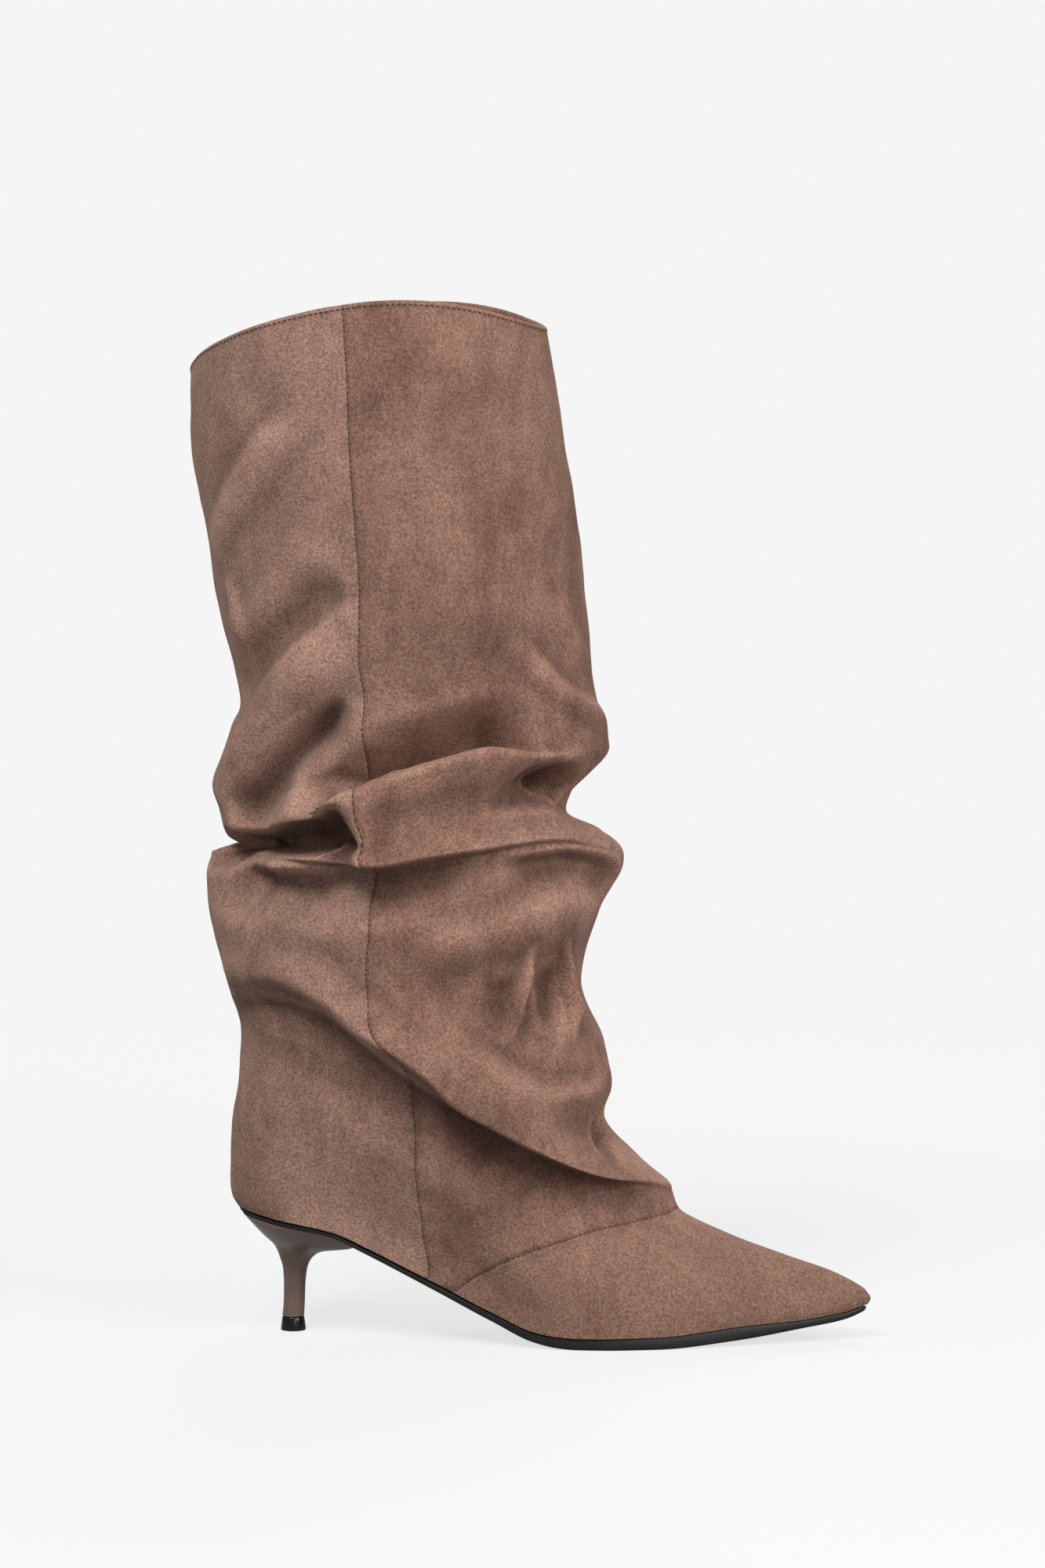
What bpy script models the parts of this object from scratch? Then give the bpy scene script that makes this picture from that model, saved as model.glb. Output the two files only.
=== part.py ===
"""A slouched kitten heel boot with a pointed toe, the right one of a pair, in metres.

X runs forward from the centre of the heel tip, Y towards the inner side of the foot and Z up.
Z is 0 on the floor, under the heel tip and under the tread of the forefoot.
"""

import math

import bmesh
import bpy
import numpy as np

# Driving sizes, in metres
BOOT_LENGTH = 0.258  # back of the heel to the tip of the toe
HEEL_SETBACK = 0.0249  # centre of the heel tip to the back of the heel
HEEL_RISE = 0.0495  # floor to the underside of the outsole at the back of the heel
SHAFT_HEIGHT = 0.366  # edge of the heel seat to the highest point of the collar
SHAFT_DEPTH = 0.143  # front to back at the collar
SHAFT_WIDTH = 0.104  # side to side at the collar
SHAFT_CENTRE = 0.0331  # middle of the shaft, forward of the heel tip
BALL_WIDTH = 0.076  # across the ball of the foot
TOE_SWING = 0.005  # how far the toe tip lies to the inner side
TOE_SPRING = 0.0116  # floor to the underside of the outsole at the toe tip
WALL = 0.0018  # thickness of the upper
SOLE_EDGE = 0.0046  # thickness of the outsole at the ball
SOLE_INSET = 0.0008  # how far the edge of the outsole stands inside the upper
SOLE_ROUNDING = 0.0012  # radius of the lower edge of the outsole
INSOLE_THICKNESS = 0.0030
HEEL_TIP_LENGTH = 0.0102  # front to back at the floor
HEEL_TIP_HEIGHT = 0.0056
HEEL_STEM = 0.0088  # front to back at the top of the heel tip
HEEL_BREAST = 0.0300  # how far forward of the heel tip the heel block meets the sole
SEAT_MARGIN = 0.0013  # from the edge of the outsole to the seat of the heel block
SEAT_HALF_WIDTH = 0.0245  # of the heel block, where the outsole leaves room for it
SEAT_SQUARENESS = 0.6  # how much fuller than an ellipse the seat of the heel block is
GAP = 0.0003  # between touching pieces

# How finely the pieces are divided
UPPER_COLUMNS = 40
UPPER_ROWS = 60
SOLE_COLUMNS = 56
HEEL_COLUMNS = 32
HEEL_ROWS = 16

# The sole, from the back of the heel to the toe tip. along is a share of BOOT_LENGTH, heel a share of
# HEEL_RISE and toe of TOE_SPRING, which add up to the height of the underside. edge is a share of
# SOLE_EDGE. outer and inner are half widths over half of BALL_WIDTH, each divided by the rounding of the
# two ends, so that the outline closes smoothly.
SOLE = (
    # along, heel, toe, edge, outer, inner
    (0.00, 1.000, 0.00, 0.33, 1.24, 1.20),
    (0.06, 0.952, 0.00, 0.34, 1.22, 1.16),
    (0.17, 0.842, 0.00, 0.37, 0.94, 0.92),
    (0.22, 0.722, 0.00, 0.42, 0.84, 0.81),
    (0.33, 0.434, 0.00, 0.54, 0.76, 0.65),
    (0.42, 0.203, 0.00, 0.68, 0.81, 0.69),
    (0.49, 0.040, 0.00, 0.86, 0.93, 0.84),
    (0.53, 0.000, 0.00, 0.96, 0.99, 0.93),
    (0.60, 0.000, 0.00, 1.00, 1.01, 1.02),
    (0.68, 0.000, 0.00, 1.06, 0.95, 1.03),
    (0.80, 0.000, 0.20, 1.16, 0.76, 0.88),
    (0.90, 0.000, 0.51, 0.71, 0.58, 0.69),
    (0.96, 0.000, 0.70, 0.66, 0.46, 0.55),
    (1.00, 0.000, 1.00, 0.50, 0.36, 0.40),
)

# The rings of the upper, from the edge of the sole to the collar. Each one crosses the boot from a point
# on its back outline to one on its front outline. In the foot both points are shares of BOOT_LENGTH from
# the back of the heel, and in the shaft they are shares of SHAFT_DEPTH from SHAFT_CENTRE. The heights are
# shares of the way from the heel seat, or from the edge at the toe tip, to the collar. outer and inner are
# half widths over half of SHAFT_WIDTH. soled is how far the ring keeps the outline and curve of the sole,
# and crown is how far its sides rise over its ends, as a share of SHAFT_HEIGHT.
FOOT_RINGS = (
    # back, back_up, front, front_up, outer, inner, soled, crown
    (0.010, 0.000, 0.996, 0.0000, 0.74, 0.74, 1.00, 0.000),
    (0.002, 0.010, 1.000, 0.0055, 0.75, 0.75, 0.98, 0.000),
    (-0.001, 0.024, 0.992, 0.0140, 0.76, 0.76, 0.95, 0.000),
    (-0.001, 0.046, 0.945, 0.0310, 0.76, 0.76, 0.85, 0.000),
    (0.000, 0.070, 0.870, 0.0475, 0.75, 0.74, 0.68, 0.000),
    (0.004, 0.103, 0.777, 0.0690, 0.74, 0.73, 0.48, 0.000),
    (0.012, 0.141, 0.704, 0.0931, 0.75, 0.73, 0.30, 0.000),
)
SHAFT_RINGS = (
    # back, back_up, front, front_up, outer, inner, soled, crown
    (-0.383, 0.178, 0.834, 0.118, 0.78, 0.75, 0.18, 0.000),
    (-0.383, 0.197, 0.740, 0.146, 0.84, 0.79, 0.08, 0.000),
    (-0.388, 0.212, 0.652, 0.186, 0.90, 0.84, 0.00, 0.000),
    (-0.398, 0.228, 0.671, 0.217, 0.93, 0.88, 0.00, 0.000),
    (-0.418, 0.252, 0.652, 0.260, 0.94, 0.90, 0.00, 0.000),
    (-0.440, 0.280, 0.583, 0.320, 0.94, 0.92, 0.00, 0.000),
    (-0.462, 0.320, 0.634, 0.388, 0.96, 0.96, 0.00, 0.000),
    (-0.473, 0.364, 0.703, 0.439, 1.00, 1.00, 0.00, 0.000),
    (-0.452, 0.391, 0.615, 0.471, 0.99, 0.97, 0.00, 0.000),
    (-0.352, 0.401, 0.533, 0.490, 1.00, 0.90, 0.00, 0.000),
    (-0.390, 0.410, 0.556, 0.508, 1.01, 0.94, 0.00, 0.000),
    (-0.449, 0.460, 0.665, 0.555, 1.01, 1.00, 0.00, 0.000),
    (-0.402, 0.526, 0.640, 0.592, 0.99, 0.98, 0.00, 0.000),
    (-0.374, 0.556, 0.617, 0.622, 0.97, 0.96, 0.00, 0.000),
    (-0.425, 0.646, 0.598, 0.700, 0.96, 0.96, 0.00, 0.000),
    (-0.471, 0.750, 0.567, 0.790, 0.97, 0.98, 0.00, 0.004),
    (-0.511, 0.853, 0.527, 0.880, 0.99, 1.00, 0.00, 0.020),
    (-0.508, 0.915, 0.485, 0.969, 1.00, 1.00, 0.00, 0.050),
)

# The rings of the heel block, from the heel tip to the seat. Each column is a share of the way from the
# stem to the seat: of its back and front points, of their heights, and of its width.
HEEL_RINGS = (
    # back, back_up, front, front_up, width
    (0.000, 0.000, 0.000, 0.000, 0.00),
    (-0.032, 0.142, 0.012, 0.200, 0.00),
    (-0.038, 0.305, 0.023, 0.431, 0.00),
    (-0.019, 0.444, 0.051, 0.628, 0.02),
    (0.063, 0.560, 0.135, 0.775, 0.10),
    (0.190, 0.678, 0.310, 0.852, 0.28),
    (0.520, 0.812, 0.750, 0.882, 0.64),
    (1.000, 1.000, 1.000, 1.000, 1.00),
)

# The folds of the slack shaft. Each follows a path of angle and height: the angle is in degrees from the
# back, over the outer side at 90 to the front at 180 and over the inner side at 270, and the height is a
# share of SHAFT_HEIGHT above the heel seat. above and below are the reach of the fold to each side of its
# path, push is how far it stands out, or in where it is negative, and lift is how far it carries the wall
# up, all in shares of FOLD_SIZE. start and end are how much of the fold is left at the two ends.
FOLD_SIZE = 0.020
SHARPEST_FLANK = 0.012  # the shortest reach of a fold that the faces of the wall can follow
FOLDS = (
    # name, path, above, below, push, lift, start, end
    ("back pouch", ((22, 0.467), (29, 0.529), (57, 0.6), (79, 0.657)), 0.9, 0.9, 0.36, 0.0, 0.3, 0.2),
    ("pouch hollow", ((39, 0.442), (49, 0.496), (58, 0.546), (73, 0.578)), 0.6, 1.1, -0.32, 0.0, 0.3, 0.0),
    ("over the pouch", ((3, 0.568), (46, 0.617), (67, 0.669)), 1.2, 0.6, -0.16, 0.0, 0.6, 0.0),
    (
        "band crease",
        ((58, 0.474), (80, 0.488), (98, 0.509), (114, 0.524), (131, 0.535), (152, 0.53)),
        1.3, 0.35, -0.8, 0.0, 0.1, 0.3,
    ),
    (
        "band top",
        ((44, 0.446), (68, 0.467), (80, 0.472), (98, 0.493), (114, 0.507), (130, 0.517), (152, 0.515)),
        0.35, 0.9, 0.3, 0.34, 0.2, 0.4,
    ),
    (
        "band foot",
        ((12, 0.394), (37, 0.403), (67, 0.399), (79, 0.392), (84, 0.389), (99, 0.399), (123, 0.409),
         (142, 0.416), (163, 0.401)),
        0.8, 0.3, 0.36, -0.15, 0.1, 0.6,
    ),
    (
        "lower crease",
        ((26, 0.373), (50, 0.379), (67, 0.38), (80, 0.377), (97, 0.385), (121, 0.397), (137, 0.401)),
        0.25, 1.2, -0.36, 0.0, 0.5, 0.1,
    ),
    ("pouch mouth", ((27, 0.413), (46, 0.415), (62, 0.415), (72, 0.413)), 0.55, 0.26, -0.9, 0.0, 1.0, 0.6),
    (
        "mouth rim",
        ((43, 0.437), (60, 0.452), (71, 0.453), (78, 0.443), (81, 0.409)),
        0.3, 0.3, 0.16, 0.0, 0.1, 0.4,
    ),
    ("front dimple", ((127, 0.466), (137, 0.475), (155, 0.472)), 0.6, 0.6, -0.45, 0.0, 0.0, 1.0),
    (
        "front shoulder",
        ((129, 0.644), (139, 0.6), (150, 0.572), (165, 0.553), (179, 0.54)),
        0.35, 0.5, 0.18, 0.0, 0.0, 0.5,
    ),
    (
        "apron back",
        ((26, 0.252), (46, 0.266), (59, 0.262), (68, 0.244), (77, 0.219), (83, 0.2), (92, 0.171),
         (102, 0.145)),
        1.0, 0.5, 0.26, -0.1, 0.4, 0.0,
    ),
    (
        "apron edge",
        ((77, 0.219), (83, 0.2), (92, 0.171), (102, 0.145), (107, 0.118), (114, 0.09), (123, 0.072),
         (130, 0.056), (141, 0.04), (154, 0.039), (170, 0.037)),
        1.8, 0.25, 0.34, -0.2, 0.0, 0.2,
    ),
    (
        "under the apron",
        ((7, 0.206), (54, 0.218), (71, 0.191), (86, 0.157), (94, 0.119), (107, 0.076), (122, 0.038),
         (140, 0.019)),
        0.3, 1.5, -0.34, 0.0, 0.2, 0.2,
    ),
    ("front crease", ((137, 0.291), (137, 0.257), (126, 0.202)), 0.25, 0.25, 0.14, 0.0, 0.2, 0.0),
    ("front hollow", ((146, 0.29), (150, 0.251), (139, 0.191)), 0.6, 0.6, -0.3, 0.0, 0.2, 0.0),
    ("second front crease", ((154, 0.286), (161, 0.233), (153, 0.2)), 0.2, 0.2, 0.12, 0.0, 0.2, 0.0),
    ("inner pouch", ((283, 0.66), (300, 0.6), (325, 0.52), (350, 0.46)), 1.0, 0.9, 0.3, 0.0, 0.2, 0.4),
    (
        "inner band crease",
        ((188, 0.52), (215, 0.495), (245, 0.475), (280, 0.455), (320, 0.44)),
        1.2, 0.5, -0.55, 0.0, 0.2, 0.2,
    ),
    (
        "inner band top",
        ((195, 0.492), (225, 0.468), (260, 0.445), (300, 0.425), (335, 0.415)),
        0.45, 0.9, 0.26, 0.28, 0.2, 0.2,
    ),
    (
        "inner band foot",
        ((190, 0.43), (225, 0.385), (265, 0.362), (305, 0.362), (345, 0.375)),
        0.8, 0.4, 0.3, -0.12, 0.3, 0.4,
    ),
    (
        "inner lower crease",
        ((200, 0.39), (235, 0.352), (270, 0.335), (305, 0.335), (340, 0.345)),
        0.3, 1.2, -0.34, 0.0, 0.2, 0.2,
    ),
    (
        "inner apron back",
        ((262, 0.165), (290, 0.205), (315, 0.232), (345, 0.24)),
        1.2, 0.5, 0.26, -0.1, 0.0, 0.4,
    ),
    (
        "inner apron",
        ((205, 0.095), (228, 0.115), (250, 0.145), (272, 0.18), (295, 0.205)),
        1.7, 0.35, 0.32, -0.2, 0.2, 0.0,
    ),
    (
        "under the inner apron",
        ((205, 0.07), (230, 0.085), (255, 0.115), (280, 0.155), (320, 0.19)),
        0.35, 1.4, -0.3, 0.0, 0.2, 0.2,
    ),
    ("inner front crease", ((212, 0.3), (216, 0.26), (222, 0.21)), 0.35, 0.35, 0.14, 0.0, 0.2, 0.0),
)


def monotone(stations, values, at):
    """A smooth curve through the stations that never overshoots them."""
    stations = np.asarray(stations, float)
    values = np.asarray(values, float)
    spans = np.diff(stations)
    slopes = np.diff(values) / spans
    tangents = np.zeros(len(stations))
    tangents[0] = slopes[0]
    tangents[-1] = slopes[-1]
    for i in range(1, len(stations) - 1):
        before, after = slopes[i - 1], slopes[i]
        if before * after > 0:
            near = 2 * spans[i] + spans[i - 1]
            far = spans[i] + 2 * spans[i - 1]
            tangents[i] = (near + far) / (near / before + far / after)
    at = np.clip(at, stations[0], stations[-1])
    i = np.clip(np.searchsorted(stations, at, side="right") - 1, 0, len(spans) - 1)
    t = (at - stations[i]) / spans[i]
    rest = 1 - t
    return (
        values[i] * (1 + 2 * t) * rest**2
        + tangents[i] * spans[i] * t * rest**2
        + values[i + 1] * t**2 * (3 - 2 * t)
        - tangents[i + 1] * spans[i] * t**2 * rest
    )


def sole_column(along, column):
    rows = np.array(SOLE)
    return monotone(rows[:, 0], rows[:, column], along)


def underside(along):
    return HEEL_RISE * sole_column(along, 1) + TOE_SPRING * sole_column(along, 2)


def sole_top(along):
    return underside(along) + SOLE_EDGE * sole_column(along, 3)


def edge_of_upper(along):
    return sole_top(along) + GAP


def end_rounding(along):
    return 2 * np.sqrt(np.clip(along * (1 - along), 0, None))


def swing(along):
    return TOE_SWING * along**3


def sole_outline(along, outer):
    """The half width of the upper at the sole, on the outer or the inner side."""
    column = np.where(outer, sole_column(along, 4), sole_column(along, 5))
    return column * end_rounding(along) * BALL_WIDTH / 2


def ring_columns(rise):
    """Each column of the ring tables, with the places in metres, at the given shares of the way up."""
    seat = edge_of_upper(0.0)
    toe = edge_of_upper(1.0)
    collar = seat + SHAFT_HEIGHT
    rings = []
    for back, back_up, front, front_up, *rest in FOOT_RINGS:
        ends = [BOOT_LENGTH * share - HEEL_SETBACK for share in (back, front)]
        rings.append((ends[0], back_up, ends[1], front_up, *rest))
    for back, back_up, front, front_up, *rest in SHAFT_RINGS:
        ends = [SHAFT_DEPTH * share + SHAFT_CENTRE for share in (back, front)]
        rings.append((ends[0], back_up, ends[1], front_up, *rest))
    rings = np.array(rings)
    rings[:, 1] = seat + rings[:, 1] * (collar - seat)
    rings[:, 3] = toe + rings[:, 3] * (collar - toe)
    stations = np.linspace(0, 1, len(rings))
    return [monotone(stations, column, rise) for column in rings.T]


def smooth_surface(turn, rise):
    """Points of the upper's outer face before it is folded, on a grid of angles and shares of the way up."""
    columns = [column[:, None] for column in ring_columns(rise)]
    back, back_z, front, front_z, outer, inner, soled, crown = columns
    angle = 2 * math.pi * turn[None, :]
    share = (1 - np.cos(angle)) / 2
    is_outer = np.sin(angle) >= 0
    along = np.broadcast_to(share, (len(rise), len(turn)))
    seat, toe = edge_of_upper(0.0), edge_of_upper(1.0)
    sag = edge_of_upper(along) - (seat + (toe - seat) * along)
    half = np.where(is_outer, outer, inner) * SHAFT_WIDTH / 2 * end_rounding(along)
    half = soled * sole_outline(along, is_outer) + (1 - soled) * half
    arch = np.abs(np.sin(angle)) ** (1 + along)
    x = back + (front - back) * along
    y = np.where(is_outer, -half, half) + soled * swing(along)
    z = back_z + (front_z - back_z) * along + soled * sag + crown * SHAFT_HEIGHT * arch
    return np.stack([x, y, z], axis=-1)


def path_points(path, count=25):
    """A smooth line through a fold's few points, in metres round and up the shaft."""
    girth = (SHAFT_DEPTH + SHAFT_WIDTH) / 4
    knots = np.array([(math.radians(angle) * girth, height * SHAFT_HEIGHT) for angle, height in path])
    stations = np.linspace(0, 1, len(knots))
    at = np.linspace(0, 1, count)
    return np.stack([monotone(stations, knots[:, i], at) for i in (0, 1)], axis=-1)


def smoothstep(share):
    share = np.clip(share, 0, 1)
    return share * share * (3 - 2 * share)


def fold_strength(around, up, fold):
    """How strongly a fold acts at each point, from 0 to 1, by its distance from the fold's path."""
    line = path_points(fold["path"])
    nearest = np.full(around.shape, np.inf)
    side = np.zeros(around.shape)
    along = np.zeros(around.shape)
    for i in range(len(line) - 1):
        (ax, ay), (bx, by) = line[i], line[i + 1]
        dx, dy = bx - ax, by - ay
        t = np.clip(((around - ax) * dx + (up - ay) * dy) / (dx * dx + dy * dy), 0, 1)
        away_x, away_y = around - ax - t * dx, up - ay - t * dy
        distance = np.hypot(away_x, away_y)
        closer = distance < nearest
        across = (dx * away_y - dy * away_x) / (math.hypot(dx, dy) * np.maximum(distance, 1e-9))
        nearest = np.where(closer, distance, nearest)
        side = np.where(closer, across, side)
        along = np.where(closer, (i + t) / (len(line) - 1), along)
    reach = fold["below"] + (fold["above"] - fold["below"]) * smoothstep((1 + side) / 2)
    reach = np.maximum(reach * FOLD_SIZE, SHARPEST_FLANK)
    bell = (1 + np.cos(math.pi * np.clip(nearest / reach, 0, 1))) / 2
    ends = fold["start"] + (1 - fold["start"]) * smoothstep(along / 0.35)
    ends *= fold["end"] + (1 - fold["end"]) * smoothstep((1 - along) / 0.35)
    return bell * ends


def upper_surface(turn, rise):
    """Points of the upper's outer face, folds included."""
    points = smooth_surface(turn, rise)
    seat = edge_of_upper(0.0)
    girth = (SHAFT_DEPTH + SHAFT_WIDTH) / 4
    angle = 2 * math.pi * turn[None, :]
    up = points[..., 2] - seat
    out = np.stack([-np.cos(angle) * SHAFT_WIDTH, -np.sin(angle) * SHAFT_DEPTH], axis=-1)
    out = out / np.linalg.norm(out, axis=-1, keepdims=True)
    moved = points.copy()
    for name, path, above, below, push, lift, start, end in FOLDS:
        fold = {"path": path, "above": above, "below": below, "start": start, "end": end}
        strength = 0
        for lap in (-2 * math.pi, 0, 2 * math.pi):
            around = np.broadcast_to((angle + lap) * girth, up.shape)
            strength = np.maximum(strength, fold_strength(around, up, fold))
        moved[..., :2] += strength[..., None] * push * FOLD_SIZE * out
        moved[..., 2] += strength * lift * FOLD_SIZE
    return moved


def material(name, colour, roughness):
    """A plain finish. The colour is linear red, green and blue."""
    made = bpy.data.materials.new(name)
    made.use_nodes = True
    shader = made.node_tree.nodes["Principled BSDF"]
    shader.inputs["Base Color"].default_value = (*colour, 1.0)
    shader.inputs["Roughness"].default_value = roughness
    shader.inputs["Metallic"].default_value = 0.0
    made.diffuse_color = (*colour, 1.0)
    return made


def tube(points):
    """A mesh tube through a grid of points, rows going up and columns going once round."""
    rows, columns = points.shape[:2]
    mesh = bmesh.new()
    bmesh.ops.create_grid(mesh, x_segments=columns, y_segments=rows - 1, size=0.5)
    for vertex in mesh.verts:
        column = round((vertex.co.x + 0.5) * columns) % columns
        row = round((vertex.co.y + 0.5) * (rows - 1))
        vertex.co = points[row, column]
    bmesh.ops.remove_doubles(mesh, verts=mesh.verts, dist=1e-7)
    return mesh


def close_ends(mesh, points):
    """Closes both ends of a tube with strips that run straight across from one side to the other."""
    lookup = {tuple(round(c, 7) for c in vertex.co): vertex for vertex in mesh.verts}
    for row in (points[0], points[-1]):
        row = np.float32(row)
        loop = [lookup[tuple(round(float(c), 7) for c in point)] for point in row]
        count = len(loop)
        for i in range(count // 2):
            strip = [loop[i], loop[i + 1], loop[count - i - 1], loop[-i % count]]
            mesh.faces.new(list(dict.fromkeys(strip)))


def finish_object(name, mesh, finish):
    """Makes the mesh an object of that name, shaded smooth, with that finish."""
    bmesh.ops.recalc_face_normals(mesh, faces=mesh.faces)
    if mesh.calc_volume(signed=True) < 0:
        bmesh.ops.reverse_faces(mesh, faces=mesh.faces)
    data = bpy.data.meshes.new(name)
    mesh.to_mesh(data)
    mesh.free()
    data.shade_smooth()
    data.set_sharp_from_angle(angle=math.radians(40))
    data.materials.append(finish)
    made = bpy.data.objects.new(name, data)
    bpy.context.scene.collection.objects.link(made)
    return made


def turns(columns):
    return np.arange(columns) / columns


def sole_ring(inset, height):
    """The outline of the sole, drawn in by inset, at the height that a function gives along it."""
    turn = turns(SOLE_COLUMNS)
    edge = smooth_surface(turn, np.array([0.0]))[0]
    ahead = np.roll(edge, -1, axis=0) - np.roll(edge, 1, axis=0)
    inward = np.stack([ahead[:, 1], -ahead[:, 0]], axis=-1)
    inward /= np.linalg.norm(inward, axis=-1, keepdims=True)
    centre = edge[:, :2].mean(axis=0)
    inward *= np.sign(((centre - edge[:, :2]) * inward).sum(axis=-1, keepdims=True))
    ring = edge.copy()
    ring[:, :2] += inward * inset
    along = (ring[:, 0] + HEEL_SETBACK) / BOOT_LENGTH
    ring[:, 2] = height(along)
    return ring


def outsole(finish):
    """One moulded sole: thick and flat under the ball, thin under the waist and the heel seat."""
    rounding = SOLE_ROUNDING
    corner = 1 - math.sqrt(0.5)
    rings = [
        sole_ring(SOLE_INSET + rounding, underside),
        sole_ring(SOLE_INSET + rounding * corner, lambda along: underside(along) + rounding * corner),
        sole_ring(SOLE_INSET, lambda along: underside(along) + rounding),
        sole_ring(SOLE_INSET, sole_top),
    ]
    points = np.array(rings)
    mesh = tube(points)
    close_ends(mesh, points)
    return finish_object("outsole", mesh, finish)


def insole(finish):
    """The sock that the foot stands on, between the walls of the upper."""
    side = WALL + 2 * GAP
    points = np.array(
        [
            sole_ring(side, edge_of_upper),
            sole_ring(side + INSOLE_THICKNESS * 0.4, lambda along: edge_of_upper(along) + INSOLE_THICKNESS),
        ]
    )
    mesh = tube(points)
    close_ends(mesh, points)
    return finish_object("insole", mesh, finish)


def upper(finish):
    """Foot and shaft in one wall, open at the collar and over the sole."""
    points = upper_surface(turns(UPPER_COLUMNS), np.linspace(0, 1, UPPER_ROWS + 1))
    made = finish_object("upper", tube(points), finish)
    wall = made.modifiers.new("Wall", "SOLIDIFY")
    wall.thickness = WALL
    wall.offset = -1.0
    wall.use_even_offset = False
    return made


def heel_block(finish):
    """The slim moulded heel, flared into a seat that fits the underside of the outsole."""
    rings = np.array(HEEL_RINGS)
    stations = np.linspace(0, 1, len(rings))
    rise = np.linspace(0, 1, HEEL_ROWS + 1)
    back, back_up, front, front_up, wide = [monotone(stations, column, rise)[:, None] for column in rings.T]
    seat_back = BOOT_LENGTH * FOOT_RINGS[0][0] - HEEL_SETBACK + SOLE_INSET + SEAT_MARGIN
    under = sole_ring(SOLE_INSET + SOLE_ROUNDING, underside)[: SOLE_COLUMNS // 2 + 1]
    seat_z = np.interp([seat_back, HEEL_BREAST], under[:, 0], under[:, 2]) - GAP
    foot_z = HEEL_TIP_HEIGHT + GAP
    stem = HEEL_STEM / 2
    angle = 2 * math.pi * turns(HEEL_COLUMNS)[None, :]
    share = (1 - np.cos(angle)) / 2
    back_x = -stem + (seat_back + stem) * back
    front_x = stem + (HEEL_BREAST - stem) * front
    x = back_x + (front_x - back_x) * share
    along = (x + HEEL_SETBACK) / BOOT_LENGTH
    back_z = foot_z + (seat_z[0] - foot_z) * back_up
    front_z = foot_z + (seat_z[1] - foot_z) * front_up
    bow = np.interp(x, under[:, 0], under[:, 2]) - GAP - (seat_z[0] + (seat_z[1] - seat_z[0]) * share)
    z = back_z + (front_z - back_z) * share + bow * wide**2
    fullness = np.abs(np.sin(angle)) ** (1 - SEAT_SQUARENESS * wide * share)
    half = (stem + (SEAT_HALF_WIDTH - stem) * wide) * fullness
    first, last = FOOT_RINGS[0][0], FOOT_RINGS[0][2]
    is_outer = np.broadcast_to(np.sin(angle) >= 0, x.shape)
    room = sole_outline((along - first) / (last - first), is_outer) - SOLE_INSET - SEAT_MARGIN
    half = np.minimum(half, np.where(wide > 0.5, np.maximum(room, 0), half))
    y = np.where(is_outer, -half, half)
    points = np.stack([x, y, z], axis=-1)
    mesh = tube(points)
    close_ends(mesh, points)
    return finish_object("heel_block", mesh, finish)


def top_lift(finish):
    """The hard cap that the heel stands on."""
    mesh = bmesh.new()
    bmesh.ops.create_cone(
        mesh,
        cap_ends=True,
        segments=HEEL_COLUMNS,
        radius1=HEEL_TIP_LENGTH / 2,
        radius2=HEEL_STEM / 2,
        depth=HEEL_TIP_HEIGHT,
    )
    bmesh.ops.translate(mesh, verts=mesh.verts, vec=(0, 0, HEEL_TIP_HEIGHT / 2))
    return finish_object("top_lift", mesh, finish)


def main():
    for old in list(bpy.data.objects):
        bpy.data.objects.remove(old)
    suede = material("microfibre_suede", (0.26, 0.15, 0.11), 0.95)
    rubber = material("moulded_rubber", (0.012, 0.012, 0.013), 0.45)
    sock = material("sock_lining", (0.16, 0.10, 0.075), 0.8)
    heel_finish = material("painted_heel", (0.12, 0.075, 0.062), 0.3)
    tip_finish = material("polyurethane_tip", (0.006, 0.006, 0.006), 0.2)
    upper(suede)
    outsole(rubber)
    insole(sock)
    heel_block(heel_finish)
    top_lift(tip_finish)


main()
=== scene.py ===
"""The slouched kitten heel boot as it stands in the photograph, in suede, rubber and lacquer.

The shape comes from the sizes and tables below, in metres. X runs forward from the centre of the heel
tip, Y towards the inner side of the foot and Z up from the floor.
"""

import math

import bmesh
import bpy
import numpy as np
from mathutils import Matrix, Vector, noise


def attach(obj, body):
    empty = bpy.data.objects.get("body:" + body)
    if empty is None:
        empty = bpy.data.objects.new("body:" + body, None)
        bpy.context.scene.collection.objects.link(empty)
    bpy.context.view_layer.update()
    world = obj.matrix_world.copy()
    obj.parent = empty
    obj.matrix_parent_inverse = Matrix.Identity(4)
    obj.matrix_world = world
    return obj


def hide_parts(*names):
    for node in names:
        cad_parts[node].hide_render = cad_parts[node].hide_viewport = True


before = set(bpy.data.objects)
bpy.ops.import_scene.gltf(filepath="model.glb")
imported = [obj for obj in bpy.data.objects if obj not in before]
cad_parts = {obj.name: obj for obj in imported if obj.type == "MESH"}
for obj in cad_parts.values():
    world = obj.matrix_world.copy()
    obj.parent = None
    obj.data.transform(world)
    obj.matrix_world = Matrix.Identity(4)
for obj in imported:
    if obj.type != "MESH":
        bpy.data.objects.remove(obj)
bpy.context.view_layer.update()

# Sizes of the boot, in metres
BOOT_LENGTH = 0.258  # back of the heel to the tip of the toe
HEEL_SETBACK = 0.0249  # centre of the heel tip to the back of the heel
HEEL_RISE = 0.0495  # floor to the underside of the outsole at the back of the heel
SHAFT_HEIGHT = 0.366  # edge of the heel seat to the highest point of the collar
SHAFT_DEPTH = 0.143  # front to back at the collar
SHAFT_WIDTH = 0.104  # side to side at the collar
SHAFT_CENTRE = 0.0331  # middle of the shaft, forward of the heel tip
BALL_WIDTH = 0.076  # across the ball of the foot
TOE_SWING = 0.005  # how far the toe tip lies to the inner side
TOE_SPRING = 0.0116  # floor to the underside of the outsole at the toe tip
SOLE_EDGE = 0.0046  # thickness of the outsole at the ball
SOLE_INSET = 0.0008  # how far the edge of the outsole stands inside the upper
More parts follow.
